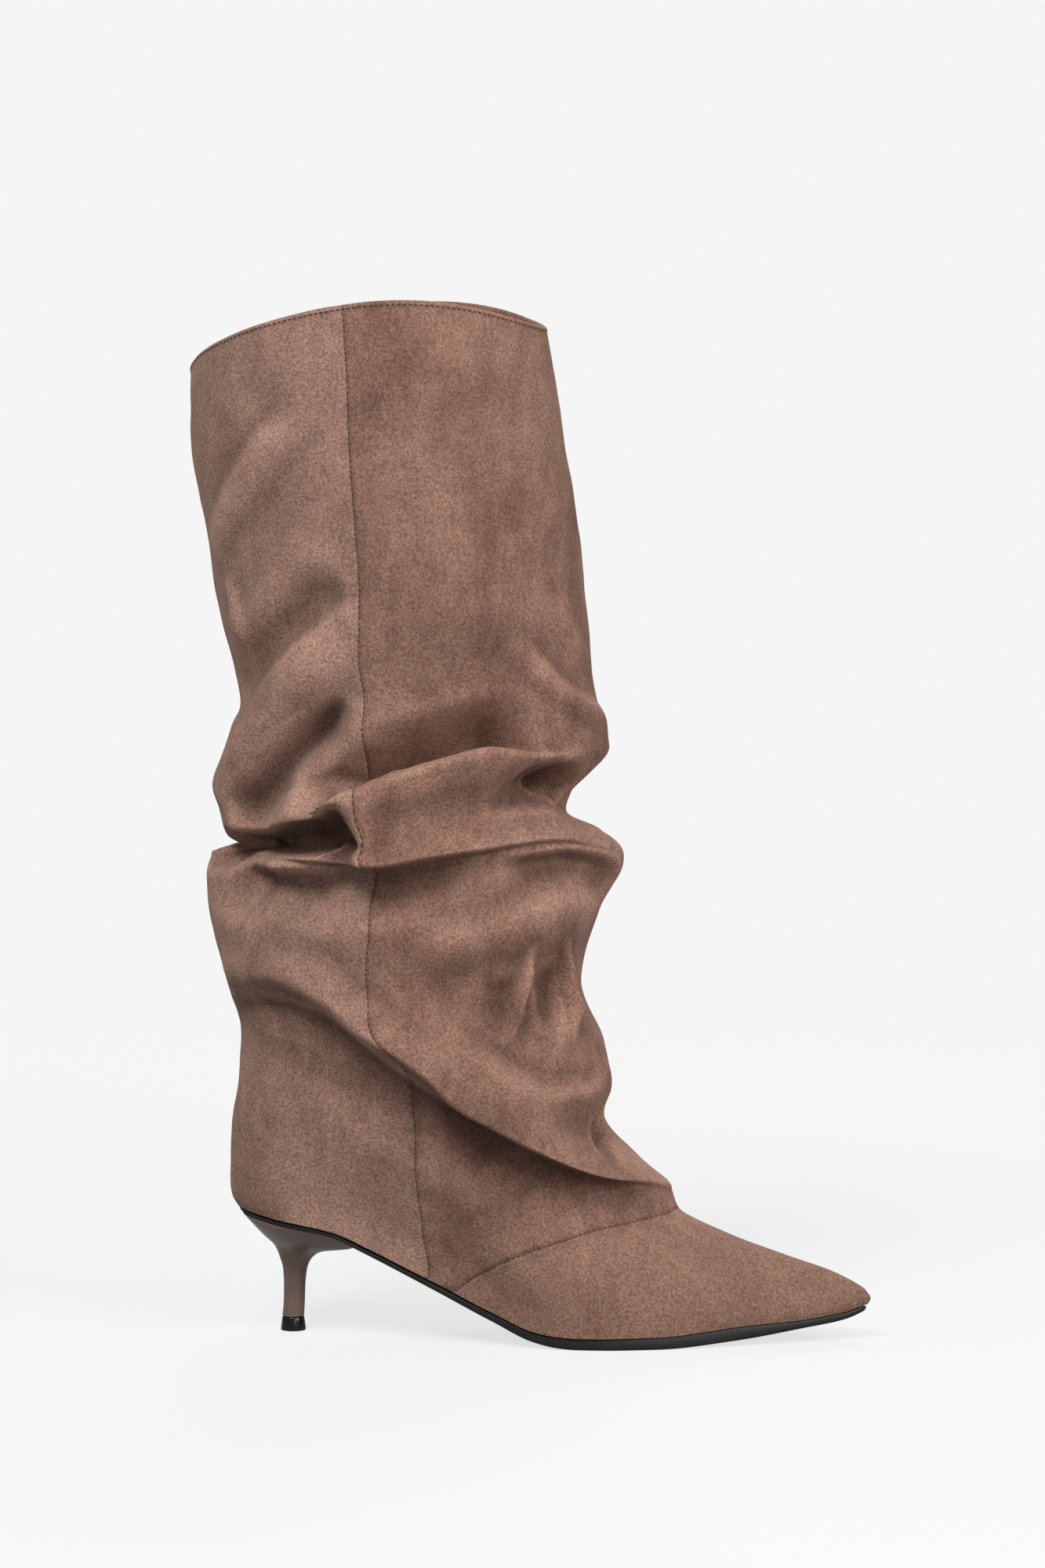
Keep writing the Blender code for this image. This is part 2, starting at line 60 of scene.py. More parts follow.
SOLE_ROUNDING = 0.0012  # radius of the lower edge of the outsole
SOLE_BEVEL = ((0.0, -0.00035), (0.00012, -0.0001), (0.0004, 0.0))  # inward and up, at its top edge
HEEL_TIP_LENGTH = 0.0102  # front to back at the floor
HEEL_TIP_HEIGHT = 0.0056
EASING = 0.0004  # width of the eased edges of the heel tip
HEEL_STEM = 0.0088  # front to back at the top of the heel tip
HEEL_BREAST = 0.0300  # how far forward of the heel tip the heel block meets the sole
SEAT_MARGIN = 0.0013  # from the edge of the outsole to the seat of the heel block
SEAT_HALF_WIDTH = 0.0245
SEAT_SQUARENESS = 0.6  # how much fuller than an ellipse the seat of the heel block is
GAP = 0.0003  # between touching pieces
RIM_RADIUS = 0.0010  # half the thickness of the turned edge of the collar
FACING = 0.013  # how far the suede is turned down inside the collar
TUCK = ((0.0022, 0.0), (0.0006, -0.0001))  # inward and up, where the suede is tucked in at the sole
LINING_DEPTH = 0.0019  # from the face of the suede to the face of the lining
PUCKER_PITCH = 0.011  # from one pucker of a seam to the next
STITCH_PITCH = 0.0022  # from one stitch or needle hole to the next
STITCH_BELOW_EDGE = 0.0017  # from the top of the rim to the row of stitches
STITCH_WIDTH = 0.00068
STITCH_THICKNESS = 0.00052

# Where the camera stands and looks
CAMERA_AIM = (0.09328, 0, 0.22216)
CAMERA_AWAY = 2.3
CAMERA_TURN = 6.5  # degrees from square on, towards the toe
CAMERA_HEIGHT = 0.40409
CAMERA_LENS = 132.534  # in millimetres, as the sensor's width

# How finely the pieces are divided
UPPER_COLUMNS = 280
UPPER_ROWS = 320
LINING_COLUMNS = 128
LINING_ROWS = 150
RIM_ROWS = 8  # over the rim of the collar, and as many again down the facing
FOLD_POINTS = 25  # along the path of a fold
SEAM_POINTS = 160  # along the path of a seam
SOLE_COLUMNS = 240
HEEL_COLUMNS = 96
HEEL_ROWS = 72

# The sole, from the back of the heel to the toe tip. along is a share of BOOT_LENGTH. heel, a share of
# HEEL_RISE, and toe, of TOE_SPRING, add up to the height of the underside. edge is a share of
# SOLE_EDGE. outer and inner are half widths over half of BALL_WIDTH, before both ends are rounded.
SOLE = (
    # along, heel, toe, edge, outer, inner
    (0.00, 1.000, 0.00, 0.33, 1.24, 1.20),
    (0.06, 0.952, 0.00, 0.34, 1.22, 1.16),
    (0.17, 0.842, 0.00, 0.37, 0.94, 0.92),
    (0.22, 0.722, 0.00, 0.42, 0.84, 0.81),
    (0.33, 0.434, 0.00, 0.54, 0.76, 0.65),
    (0.42, 0.203, 0.00, 0.68, 0.81, 0.69),
    (0.49, 0.047, 0.00, 0.86, 0.93, 0.84),
    (0.53, 0.010, 0.00, 0.96, 0.99, 0.93),
    (0.56, 0.000, 0.00, 0.98, 1.00, 0.98),
    (0.60, 0.000, 0.00, 1.00, 1.01, 1.02),
    (0.68, 0.000, 0.00, 1.06, 0.95, 1.03),
    (0.80, 0.000, 0.20, 1.16, 0.76, 0.88),
    (0.90, 0.000, 0.51, 0.71, 0.58, 0.69),
    (0.96, 0.000, 0.72, 0.61, 0.46, 0.55),
    (1.00, 0.000, 1.056, 0.36, 0.36, 0.40),
)

# The rings of the upper, from the edge of the sole to the collar. Each one crosses the boot from its
# back outline to its front outline. In the foot both places are shares of BOOT_LENGTH from the back of
# the heel, and in the shaft they are shares of SHAFT_DEPTH from SHAFT_CENTRE. The heights are shares of
# the way to the collar, from the heel seat at the back and the edge at the toe tip in front. outer and
# inner are half widths over half of SHAFT_WIDTH. soled is how far the ring keeps to the sole, and crown
# is how far its sides rise over its ends, as a share of SHAFT_HEIGHT.
FOOT_RINGS = (
    # back, back_up, front, front_up, outer, inner, soled, crown
    (0.010, 0.000, 0.996, 0.0000, 0.74, 0.74, 1.00, 0.000),
    (0.002, 0.010, 1.000, 0.0055, 0.75, 0.75, 0.98, 0.000),
    (-0.001, 0.024, 0.992, 0.0140, 0.76, 0.76, 0.95, 0.000),
    (-0.001, 0.046, 0.945, 0.0310, 0.76, 0.76, 0.85, 0.000),
    (0.000, 0.070, 0.870, 0.0475, 0.75, 0.74, 0.68, 0.000),
    (0.004, 0.103, 0.777, 0.0690, 0.74, 0.73, 0.48, 0.000),
    (0.012, 0.141, 0.704, 0.0931, 0.75, 0.73, 0.30, 0.000),
)
SHAFT_RINGS = (
    # back, back_up, front, front_up, outer, inner, soled, crown
    (-0.383, 0.178, 0.834, 0.118, 0.78, 0.75, 0.18, 0.000),
    (-0.383, 0.197, 0.740, 0.146, 0.84, 0.79, 0.08, 0.000),
    (-0.388, 0.212, 0.652, 0.186, 0.90, 0.84, 0.00, 0.000),
    (-0.398, 0.228, 0.671, 0.217, 0.93, 0.88, 0.00, 0.000),
    (-0.418, 0.252, 0.652, 0.260, 0.94, 0.90, 0.00, 0.000),
    (-0.440, 0.280, 0.583, 0.320, 0.94, 0.92, 0.00, 0.000),
    (-0.462, 0.320, 0.634, 0.388, 0.96, 0.96, 0.00, 0.000),
    (-0.473, 0.364, 0.703, 0.439, 1.00, 1.00, 0.00, 0.000),
    (-0.452, 0.391, 0.615, 0.471, 0.99, 0.97, 0.00, 0.000),
    (-0.352, 0.401, 0.533, 0.490, 1.00, 0.90, 0.00, 0.000),
    (-0.390, 0.410, 0.556, 0.508, 1.01, 0.94, 0.00, 0.000),
    (-0.449, 0.460, 0.665, 0.555, 1.01, 1.00, 0.00, 0.000),
    (-0.402, 0.526, 0.640, 0.592, 0.99, 0.98, 0.00, 0.000),
    (-0.374, 0.556, 0.617, 0.622, 0.97, 0.96, 0.00, 0.000),
    (-0.425, 0.646, 0.598, 0.700, 0.96, 0.96, 0.00, 0.000),
    (-0.471, 0.750, 0.567, 0.790, 0.97, 0.98, 0.00, 0.004),
    (-0.511, 0.853, 0.527, 0.880, 0.99, 1.00, 0.00, 0.020),
    (-0.508, 0.915, 0.485, 0.969, 1.00, 1.00, 0.00, 0.050),
)

# The rings of the heel block, from the heel tip to the seat. Each column is a share of the way from the
# stem to the seat: of its back and front points, of their heights, and of its width.
HEEL_RINGS = (
    # back, back_up, front, front_up, width
    (0.000, 0.000, 0.000, 0.000, 0.00),
    (-0.032, 0.142, 0.012, 0.200, 0.00),
    (-0.038, 0.305, 0.023, 0.431, 0.00),
    (-0.019, 0.444, 0.051, 0.628, 0.02),
    (0.063, 0.560, 0.135, 0.775, 0.10),
    (0.190, 0.678, 0.310, 0.852, 0.28),
    (0.520, 0.812, 0.750, 0.882, 0.64),
    (1.000, 1.000, 1.000, 1.000, 1.00),
)

# The folds of the slack shaft. Each follows a path of angle and height: the angle is in degrees from
# the back, with the outer side at 90, the front at 180 and the inner side at 270, and the height is a
# share of SHAFT_HEIGHT above the heel seat. above and below are the reach of the fold to each side of
# its path, push is how far it stands out, or in where it is negative, and lift is how far it carries
# the wall up, all in shares of FOLD_SIZE. start and end are how much of it is left at its two ends.
FOLD_SIZE = 0.020
FOLDS = (
    # name, path, above, below, push, lift, start, end
    ("back pouch", ((25.5, 0.464), (34.5, 0.518), (51.5, 0.574), (78.5, 0.641)),
     0.9, 0.8, 0.38, 0, 0.3, 0.2),
    ("pouch hollow", ((35.5, 0.447), (44, 0.468), (50.5, 0.496), (59, 0.523), (68, 0.547),
     (75.5, 0.562)), 0.45, 0.85, -0.62, 0, 0.9, 0),
    ("over the pouch", ((27.5, 0.584), (45, 0.615), (61.5, 0.651), (72, 0.676), (81.5, 0.689)),
     0.9, 0.45, -0.3, 0, 0.4, 0),
    ("back streak", ((22, 0.732), (42, 0.782), (60.5, 0.84), (76.5, 0.885)),
     0.5, 0.6, 0.15, 0, 0.3, 0),
    ("second back streak", ((29.5, 0.704), (30.5, 0.662), (26.5, 0.613)),
     0.4, 0.4, 0.12, 0, 0.2, 0.2),
    ("band crease", ((76, 0.465), (86.5, 0.474), (100, 0.488), (108.5, 0.497), (117.5, 0.504),
     (127.5, 0.508), (138, 0.508)), 1.35, 0.26, -0.95, 0, 0.8, 0.1),
    ("band top", ((76, 0.451), (86.5, 0.463), (100, 0.477), (108.5, 0.485), (117.5, 0.492),
     (127.5, 0.496), (138.5, 0.498)), 0.3, 0.9, 0.34, 0.42, 0.7, 0.3),
    ("band foot", ((4, 0.398), (40.5, 0.405), (66, 0.404), (79.5, 0.399), (85, 0.398), (102, 0.409),
     (122, 0.419), (145, 0.424), (167.5, 0.41)), 0.8, 0.3, 0.46, -0.15, 0.35, 0.5),
    ("lower crease", ((36.5, 0.37), (52, 0.368), (66.5, 0.37), (80, 0.374), (97.5, 0.383),
     (116, 0.392)), 0.3, 1.2, -0.5, 0, 0.7, 0),
    ("shoulder hollow", ((24.5, 0.378), (38.5, 0.375), (52, 0.373)), 0.5, 1.1, -0.36, 0, 0.7, 0.1),
    ("under the front bulge", ((117, 0.384), (132, 0.387), (145.5, 0.39), (163, 0.382)),
     0.3, 1, -0.6, 0, 0.1, 0.8),
    ("pouch mouth", ((11.5, 0.407), (44, 0.419), (59, 0.428), (69, 0.431), (75, 0.425), (77.5, 0.41)),
     0.24, 0.8, -1.05, 0, 1, 0.6),
    ("mouth lip", ((25.5, 0.426), (43, 0.436), (55.5, 0.445), (66, 0.451), (73.5, 0.449)),
     0.35, 0.25, 0.1, -0.22, 0.2, 0.4),
    ("mouth rim", ((40, 0.431), (54, 0.443), (66, 0.449), (74, 0.448), (80.5, 0.437), (82, 0.423),
     (85, 0.404)), 0.55, 0.3, 0.42, 0, 0.1, 0),
    ("front dimple", ((130.5, 0.467), (141, 0.472), (152.5, 0.472)), 0.5, 0.5, -0.8, 0, 0.4, 0.8),
    ("dimple crack", ((145, 0.492), (151, 0.479), (161.5, 0.464)), 0.28, 0.28, -0.6, 0, 0.2, 0.8),
    ("under the dimple", ((134.5, 0.458), (154, 0.441), (170, 0.432), (177.5, 0.419), (186.5, 0.404)),
     0.25, 0.5, 0.2, 0, 0, 0.6),
    ("front shoulder", ((129, 0.643), (139.5, 0.601), (150.5, 0.572), (165, 0.553), (179, 0.539)),
     0.35, 0.5, 0.18, 0, 0, 0.5),
    ("apron back", ((27.5, 0.261), (44, 0.27), (54, 0.272), (63.5, 0.264), (71.5, 0.244),
     (77.5, 0.221), (84.5, 0.198), (92, 0.177), (100.5, 0.152)), 0.8, 0.55, 0.36, -0.1, 0.4, 0),
    ("apron edge", ((77.5, 0.227), (84.5, 0.203), (92, 0.182), (100.5, 0.158), (106, 0.136),
     (113.5, 0.117), (120.5, 0.096), (127, 0.078), (134.5, 0.063), (145.5, 0.052), (159, 0.046),
     (172, 0.037)), 1.4, 0.3, 0.46, -0.2, 0, 0.3),
    ("under the apron", ((15.5, 0.221), (44.5, 0.231), (59, 0.223), (69, 0.204), (78.5, 0.177),
     (87.5, 0.152), (96.5, 0.126), (104, 0.11), (111, 0.092), (118, 0.067), (128, 0.045),
     (141, 0.029)), 0.3, 1.8, -0.5, 0, 0.3, 0.25),
    ("front crease", ((138.5, 0.294), (138, 0.267), (133.5, 0.236), (122.5, 0.197)),
     0.2, 0.2, 0.3, 0, 0.3, 0.1),
    ("front hollow", ((147, 0.281), (149, 0.243), (138.5, 0.203)), 0.45, 0.45, -0.3, 0, 0.1, 0.2),
    ("by the front crease", ((131.5, 0.271), (127.5, 0.237), (117, 0.207)),
     0.4, 0.6, -0.16, 0, 0, 0),
    ("second front crease", ((155, 0.299), (159, 0.264), (161, 0.232), (153.5, 0.201)),
     0.18, 0.18, 0.34, 0, 0.4, 0.1),
    ("beside the nose", ((179, 0.114), (167.5, 0.097), (157, 0.081), (149, 0.066)),
     0.28, 0.28, -0.32, 0, 0.7, 0.2),
    ("front roll", ((107, 0.199), (119, 0.158), (135.5, 0.135), (151, 0.134), (170, 0.153)),
     0.5, 0.9, 0.32, 0, 0, 0.3),
    ("lobe hollow", ((93, 0.285), (110, 0.252), (123, 0.213), (134.5, 0.182)),
     1, 0.9, -0.2, 0, 0.1, 0.1),
    ("lobe ridge", ((96.5, 0.287), (113, 0.308), (133, 0.32), (160, 0.331)),
     0.7, 0.7, 0.16, 0, 0, 0.3),
    ("inner pouch", ((283, 0.66), (300, 0.6), (325, 0.52), (350, 0.46)), 1, 0.9, 0.3, 0, 0.2, 0.4),
    ("inner band crease", ((188, 0.52), (215, 0.495), (245, 0.475), (280, 0.455), (320, 0.44)),
     1.2, 0.5, -0.55, 0, 0.2, 0.2),
    ("inner band top", ((195, 0.492), (225, 0.468), (260, 0.445), (300, 0.425), (335, 0.415)),
     0.45, 0.9, 0.26, 0.28, 0.2, 0.2),
    ("inner band foot", ((190, 0.43), (225, 0.385), (265, 0.362), (305, 0.362), (345, 0.375)),
     0.8, 0.4, 0.3, -0.12, 0.3, 0.4),
    ("inner lower crease", ((200, 0.39), (235, 0.352), (270, 0.335), (305, 0.335), (340, 0.345)),
     0.3, 1.2, -0.34, 0, 0.2, 0.2),
    ("inner apron back", ((262, 0.165), (290, 0.205), (315, 0.232), (345, 0.24)),
     1.2, 0.5, 0.26, -0.1, 0, 0.4),
    ("inner apron", ((205, 0.095), (228, 0.115), (250, 0.145), (272, 0.18), (295, 0.205)),
     1.7, 0.35, 0.32, -0.2, 0.2, 0),
    ("under the inner apron", ((205, 0.07), (230, 0.085), (255, 0.115), (280, 0.155), (320, 0.19)),
     0.35, 1.4, -0.3, 0, 0.2, 0.2),
    ("inner front crease", ((212, 0.3), (216, 0.26), (222, 0.21)), 0.35, 0.35, 0.14, 0, 0.2, 0),
)

# The seams of the upper, as paths of angle and height like the folds. The side seams part the back
# panel from the front one, and the vamp seam crosses the instep.
OUTER_SEAM = (
    (88.5, 1.02), (87.5, 0.986), (87.5, 0.937), (87, 0.878), (85.5, 0.812), (84, 0.745), (83, 0.695),
    (81, 0.644), (78.5, 0.593), (78.5, 0.543), (80, 0.494), (80, 0.468), (82, 0.435), (83.5, 0.396),
    (82.5, 0.359), (85, 0.307), (84.5, 0.256), (82, 0.222), (84.5, 0.196), (88.5, 0.178), (90.5, 0.154),
    (82.5, 0.108), (81.5, 0.065), (76.5, 0.012), (70.5, -0.032), (69, -0.068), (68, -0.08),
)
INNER_SEAM = (
    (271.5, 1.02), (273, 0.848), (276, 0.693), (280, 0.56), (279, 0.444), (277, 0.325), (277, 0.204),
    (275, 0.1), (280, 0.03), (291, -0.066), (292, -0.08),
)
VAMP_SEAM = (
    (71.5, -0.088), (74.5, -0.08), (78, -0.068), (87, -0.051), (96.5, -0.036), (105, -0.026),
    (114.5, -0.017), (124, -0.01), (136.5, -0.006), (154, -0.001), (180, 0.004), (206, -0.001),
    (223.5, -0.006), (236, -0.01), (245.5, -0.017), (255, -0.026), (263.5, -0.036), (273, -0.051),
    (282, -0.068), (285.5, -0.08), (288.5, -0.088),
)

# Patches of painted shade under and beside the folds, where tone is negative, and of painted light,
# # where it is positive. angle and height are those of the folds, and the mark fades out at across
# # metres round the boot and up metres above and below.
PAINTED_SHADE_AND_LIGHT_PATCHES = (
    # name, angle, height, across, up, tone
    ("over the band", 107, 0.625, 0.060, 0.034, -0.22),
    ("over the back pouch", 59.5, 0.570, 0.030, 0.022, -0.28),
    ("front of the pouch", 45.5, 0.475, 0.018, 0.022, -0.16),
    ("below the pouch", 64, 0.300, 0.040, 0.030, -0.25),
    ("side of the vamp", 101, 0.040, 0.042, 0.030, -0.28),
    ("below the apron", 98, 0.120, 0.026, 0.016, -0.16),
    ("heel panel", 57, 0.105, 0.036, 0.030, 0.12),
)

# How the suede is drawn in along its seams, and how uneven it is elsewhere, in metres
PUCKERS = (("side", 0.0045, 0.0005), ("vamp", 0.0040, 0.0006))  # seam, reach, depth
UNEVENNESS = ((0.024, 0.0007, (0, 0, 0)), (0.0085, 0.00028, (3, 1, 7)))  # across, swell, shift

GIRTH = (SHAFT_DEPTH + SHAFT_WIDTH) / 4  # metres round the shaft for each radian


def monotone(stations, values, at):
    """A smooth curve through the stations that never overshoots them."""
    stations = np.asarray(stations, float)
    values = np.asarray(values, float)
    spans = np.diff(stations)
    slopes = np.diff(values) / spans
    tangents = np.zeros(len(stations))
    tangents[0] = slopes[0]
    tangents[-1] = slopes[-1]
    for i in range(1, len(stations) - 1):
        before, after = slopes[i - 1], slopes[i]
        if before * after > 0:
            near = 2 * spans[i] + spans[i - 1]
            far = spans[i] + 2 * spans[i - 1]
            tangents[i] = (near + far) / (near / before + far / after)
    at = np.clip(at, stations[0], stations[-1])
    i = np.clip(np.searchsorted(stations, at, side="right") - 1, 0, len(spans) - 1)
    t = (at - stations[i]) / spans[i]
    rest = 1 - t
    return (
        values[i] * (1 + 2 * t) * rest**2
        + tangents[i] * spans[i] * t * rest**2
        + values[i + 1] * t**2 * (3 - 2 * t)
        - tangents[i + 1] * spans[i] * t**2 * rest
    )


def smoothstep(share):
    share = np.clip(share, 0, 1)
    return share * share * (3 - 2 * share)


def sole_column(along, column):
    rows = np.array(SOLE)
    return monotone(rows[:, 0], rows[:, column], along)


def underside(along):
    return HEEL_RISE * sole_column(along, 1) + TOE_SPRING * sole_column(along, 2)


def sole_top(along):
    return underside(along) + SOLE_EDGE * sole_column(along, 3)


def edge_of_upper(along):
    return sole_top(along) + GAP


def end_rounding(along):
    return 2 * np.sqrt(np.clip(along * (1 - along), 0, None))


def sole_outline(along, outer):
    """The half width of the upper at the sole, on the outer or the inner side."""
    column = np.where(outer, sole_column(along, 4), sole_column(along, 5))
    return column * end_rounding(along) * BALL_WIDTH / 2


def ring_columns(rise):
    """Each column of the ring tables, with the places in metres, at the given shares of the way up."""
    seat = edge_of_upper(0.0)
    toe = edge_of_upper(1.0)
    collar = seat + SHAFT_HEIGHT
    foot = np.array(FOOT_RINGS)
    foot[:, (0, 2)] = BOOT_LENGTH * foot[:, (0, 2)] - HEEL_SETBACK
    shaft = np.array(SHAFT_RINGS)
    shaft[:, (0, 2)] = SHAFT_DEPTH * shaft[:, (0, 2)] + SHAFT_CENTRE
    rings = np.concatenate([foot, shaft])
    rings[:, 1] = seat + rings[:, 1] * (collar - seat)
    rings[:, 3] = toe + rings[:, 3] * (collar - toe)
    stations = np.linspace(0, 1, len(rings))
    return [monotone(stations, column, rise) for column in rings.T]


def smooth_surface(turn, rise):
    """The upper's outer face before it is folded, on a grid of angles and shares of the way up."""
    columns = [column[:, None] for column in ring_columns(rise)]
    back, back_z, front, front_z, outer, inner, soled, crown = columns
    angle = 2 * math.pi * turn[None, :]
    share = (1 - np.cos(angle)) / 2
    is_outer = np.sin(angle) >= 0
    along = np.broadcast_to(share, (len(rise), len(turn)))
    seat, toe = edge_of_upper(0.0), edge_of_upper(1.0)
    sag = edge_of_upper(along) - (seat + (toe - seat) * along)
    half = np.where(is_outer, outer, inner) * SHAFT_WIDTH / 2 * end_rounding(along)
    half = soled * sole_outline(along, is_outer) + (1 - soled) * half
    arch = np.abs(np.sin(angle)) ** (1 + along)
    x = back + (front - back) * along
    y = np.where(is_outer, -half, half) + soled * TOE_SWING * along**3
    z = back_z + (front_z - back_z) * along + soled * sag + crown * SHAFT_HEIGHT * arch
    return np.stack([x, y, z], axis=-1)


def path_points(path, count):
    """A smooth line through a path's few points, in metres round and up the shaft."""
    knots = np.array([(math.radians(angle) * GIRTH, height * SHAFT_HEIGHT) for angle, height in path])
    stations = np.linspace(0, 1, len(knots))
    at = np.linspace(0, 1, count)
    return np.stack([monotone(stations, knots[:, i], at) for i in (0, 1)], axis=-1)


def fold_strength(around, up, path, above, below, start, end):
    """How strongly a fold acts at each point, from 0 to 1, by its distance from the fold's path."""
    line = path_points(path, FOLD_POINTS)
    nearest = np.full(around.shape, np.inf)
    side = np.zeros(around.shape)
    along = np.zeros(around.shape)
    for i in range(len(line) - 1):
        (ax, ay), (bx, by) = line[i], line[i + 1]
        dx, dy = bx - ax, by - ay
        t = np.clip(((around - ax) * dx + (up - ay) * dy) / (dx * dx + dy * dy), 0, 1)
        away_x, away_y = around - ax - t * dx, up - ay - t * dy
        distance = np.hypot(away_x, away_y)
        closer = distance < nearest
        across = (dx * away_y - dy * away_x) / (math.hypot(dx, dy) * np.maximum(distance, 1e-9))
        nearest = np.where(closer, distance, nearest)
        side = np.where(closer, across, side)
        along = np.where(closer, (i + t) / (len(line) - 1), along)
    reach = (below + (above - below) * smoothstep((1 + side) / 2)) * FOLD_SIZE
    bell = (1 + np.cos(math.pi * np.clip(nearest / reach, 0, 1))) / 2
    ends = start + (1 - start) * smoothstep(along / 0.35)
    ends *= end + (1 - end) * smoothstep((1 - along) / 0.35)
    return bell * ends


def unit(directions):
    """The same directions, each with a length of 1."""
    return directions / np.maximum(np.linalg.norm(directions, axis=-1, keepdims=True), 1e-12)


def folded_surface(turn, rise):
    """Points of the upper's outer face with its folds."""
    points = smooth_surface(turn, rise)
    angle = 2 * math.pi * turn[None, :]
    up = points[..., 2] - edge_of_upper(0.0)
    out = unit(np.stack([-np.cos(angle) * SHAFT_WIDTH, -np.sin(angle) * SHAFT_DEPTH], axis=-1))
    moved = points.copy()
    for name, path, above, below, push, lift, start, end in FOLDS:
        strength = 0
        for lap in (-2 * math.pi, 0, 2 * math.pi):
            around = np.broadcast_to((angle + lap) * GIRTH, up.shape)
            strength = np.maximum(strength, fold_strength(around, up, path, above, below, start, end))
        moved[..., :2] += strength[..., None] * push * FOLD_SIZE * out
        moved[..., 2] += strength * lift * FOLD_SIZE
    return moved


def outward(points):
    """The direction out of a tube of points at each of them."""
    ahead = np.roll(points, -1, axis=1) - np.roll(points, 1, axis=1)
    return unit(np.cross(ahead, np.gradient(points, axis=0)))


def seam_line(path):
    """Points in space along a seam's path, on the upper before it is folded."""
    flat = path_points(path, SEAM_POINTS)
    rise = np.linspace(0, 1, 500)
    line = []
    for around, up in flat:
        strip = smooth_surface(np.array([around / GIRTH / (2 * math.pi)]), rise)[:, 0]
        line.append([np.interp(up + edge_of_upper(0.0), strip[:, 2], strip[:, i]) for i in range(3)])
    return np.array(line)


def seam_distance(points, line):
    """How far each point is from a seam, and how far along it, both in metres."""
    nearest = np.full(points.shape[:-1], np.inf)
    along = np.zeros(points.shape[:-1])
    run = 0.0
    for start, end in zip(line, line[1:]):
        step = end - start
        length = np.linalg.norm(step)
        if length < 1e-7:
            continue
        t = np.clip(((points - start) @ step) / length**2, 0, 1)
        distance = np.linalg.norm(points - start - t[..., None] * step, axis=-1)
        along = np.where(distance < nearest, run + t * length, along)
        nearest = np.minimum(distance, nearest)
        run += length
    return nearest, along


def seam_sides(turn, rise):
    """For each point of the upper: its distance from the nearest side seam, negative on the back panel,
    and from the vamp seam, negative on the toe, and how far along each seam it is."""
    points = smooth_surface(turn, rise)
    degrees = np.broadcast_to(np.degrees(2 * math.pi * turn)[None, :], points.shape[:-1])
    height = (points[..., 2] - edge_of_upper(0.0)) / SHAFT_HEIGHT
    outer, outer_run = seam_distance(points, seam_line(OUTER_SEAM))
    inner, inner_run = seam_distance(points, seam_line(INNER_SEAM))
    vamp, vamp_run = seam_distance(points, seam_line(VAMP_SEAM))
    seam_angles = []
    for path in (OUTER_SEAM, INNER_SEAM):
        knots = path_points(path, SEAM_POINTS)[::-1]
        around = np.interp(height * SHAFT_HEIGHT, knots[:, 1], knots[:, 0])
        seam_angles.append(np.degrees(around / GIRTH))
    in_front = (degrees > seam_angles[0]) & (degrees < seam_angles[1])
    side = np.where(in_front, 1, -1) * np.minimum(outer, inner)
    side_run = np.where(outer < inner, outer_run, inner_run)
    knots = path_points(VAMP_SEAM, SEAM_POINTS)
    vamp_up = np.interp(np.radians(degrees) * GIRTH, knots[:, 0], knots[:, 1], left=-1, right=-1)
    vamp = np.where(height * SHAFT_HEIGHT < vamp_up, -vamp, vamp)
    return {"side_seam": side, "side_run": side_run, "vamp_seam": vamp, "vamp_run": vamp_run}


def dented(points, seams):
    """The upper drawn in along its seams, and uneven between them, as soft suede is."""
    out = outward(points)
    pull = np.zeros(points.shape[:-1])
    for seam, reach, depth in PUCKERS:
        near = np.exp(-((seams[seam + "_seam"] / reach) ** 2))
        run = seams[seam + "_run"]
        beat = 0.5 + 0.5 * np.sin(2 * math.pi * run / PUCKER_PITCH + 2.5 * np.sin(run / 0.019))
        pull -= near * depth * (0.35 + 0.65 * beat)
    slack = np.zeros(points.shape[:-1])
    for row in range(points.shape[0]):
        for column in range(points.shape[1]):
            for across, swell, shift in UNEVENNESS:
                at = Vector(points[row, column]) / across + Vector(shift)
                slack[row, column] += swell * noise.noise(at)
    height = (points[..., 2] - edge_of_upper(0.0)) / SHAFT_HEIGHT
    loose = smoothstep((height + 0.02) / 0.1) * smoothstep((1.02 - height) / 0.06)
    return points + (pull + slack * loose)[..., None] * out


def standing_out(points):
    """How far each point stands out from those about 3 mm and 7 mm around it, in metres."""
    out = outward(points)
    last = len(points) - 1
    total = 0
    for reach, weight in ((2, 1.0), (5, 0.35)):
        above = points[np.minimum(np.arange(last + 1) + reach, last)]
        below = points[np.maximum(np.arange(last + 1) - reach, 0)]
        beside = np.roll(points, reach, axis=1) + np.roll(points, -reach, axis=1)
        total = total + weight * np.sum((points - (above + below + beside) / 4) * out, axis=-1)
    return total


def painted_patch_tone(turn, rise):
    """How much lighter or darker each point of the upper is made by the patches of painted shade and
    painted light.
    """
    points = smooth_surface(turn, rise)
    around = np.broadcast_to(2 * math.pi * turn[None, :] * GIRTH, points.shape[:-1])
    up = points[..., 2] - edge_of_upper(0.0)
    total = np.zeros(up.shape)
    # Each patch is painted shade where its tone is negative and painted light where it is positive.
    for name, angle, height, across, reach, tone in PAINTED_SHADE_AND_LIGHT_PATCHES:
        beside = (around - math.radians(angle) * GIRTH) / across
        away = np.hypot(beside, (up - height * SHAFT_HEIGHT) / reach)
        total += tone * (1 + np.cos(math.pi * np.clip(away, 0, 1))) / 2
    return total


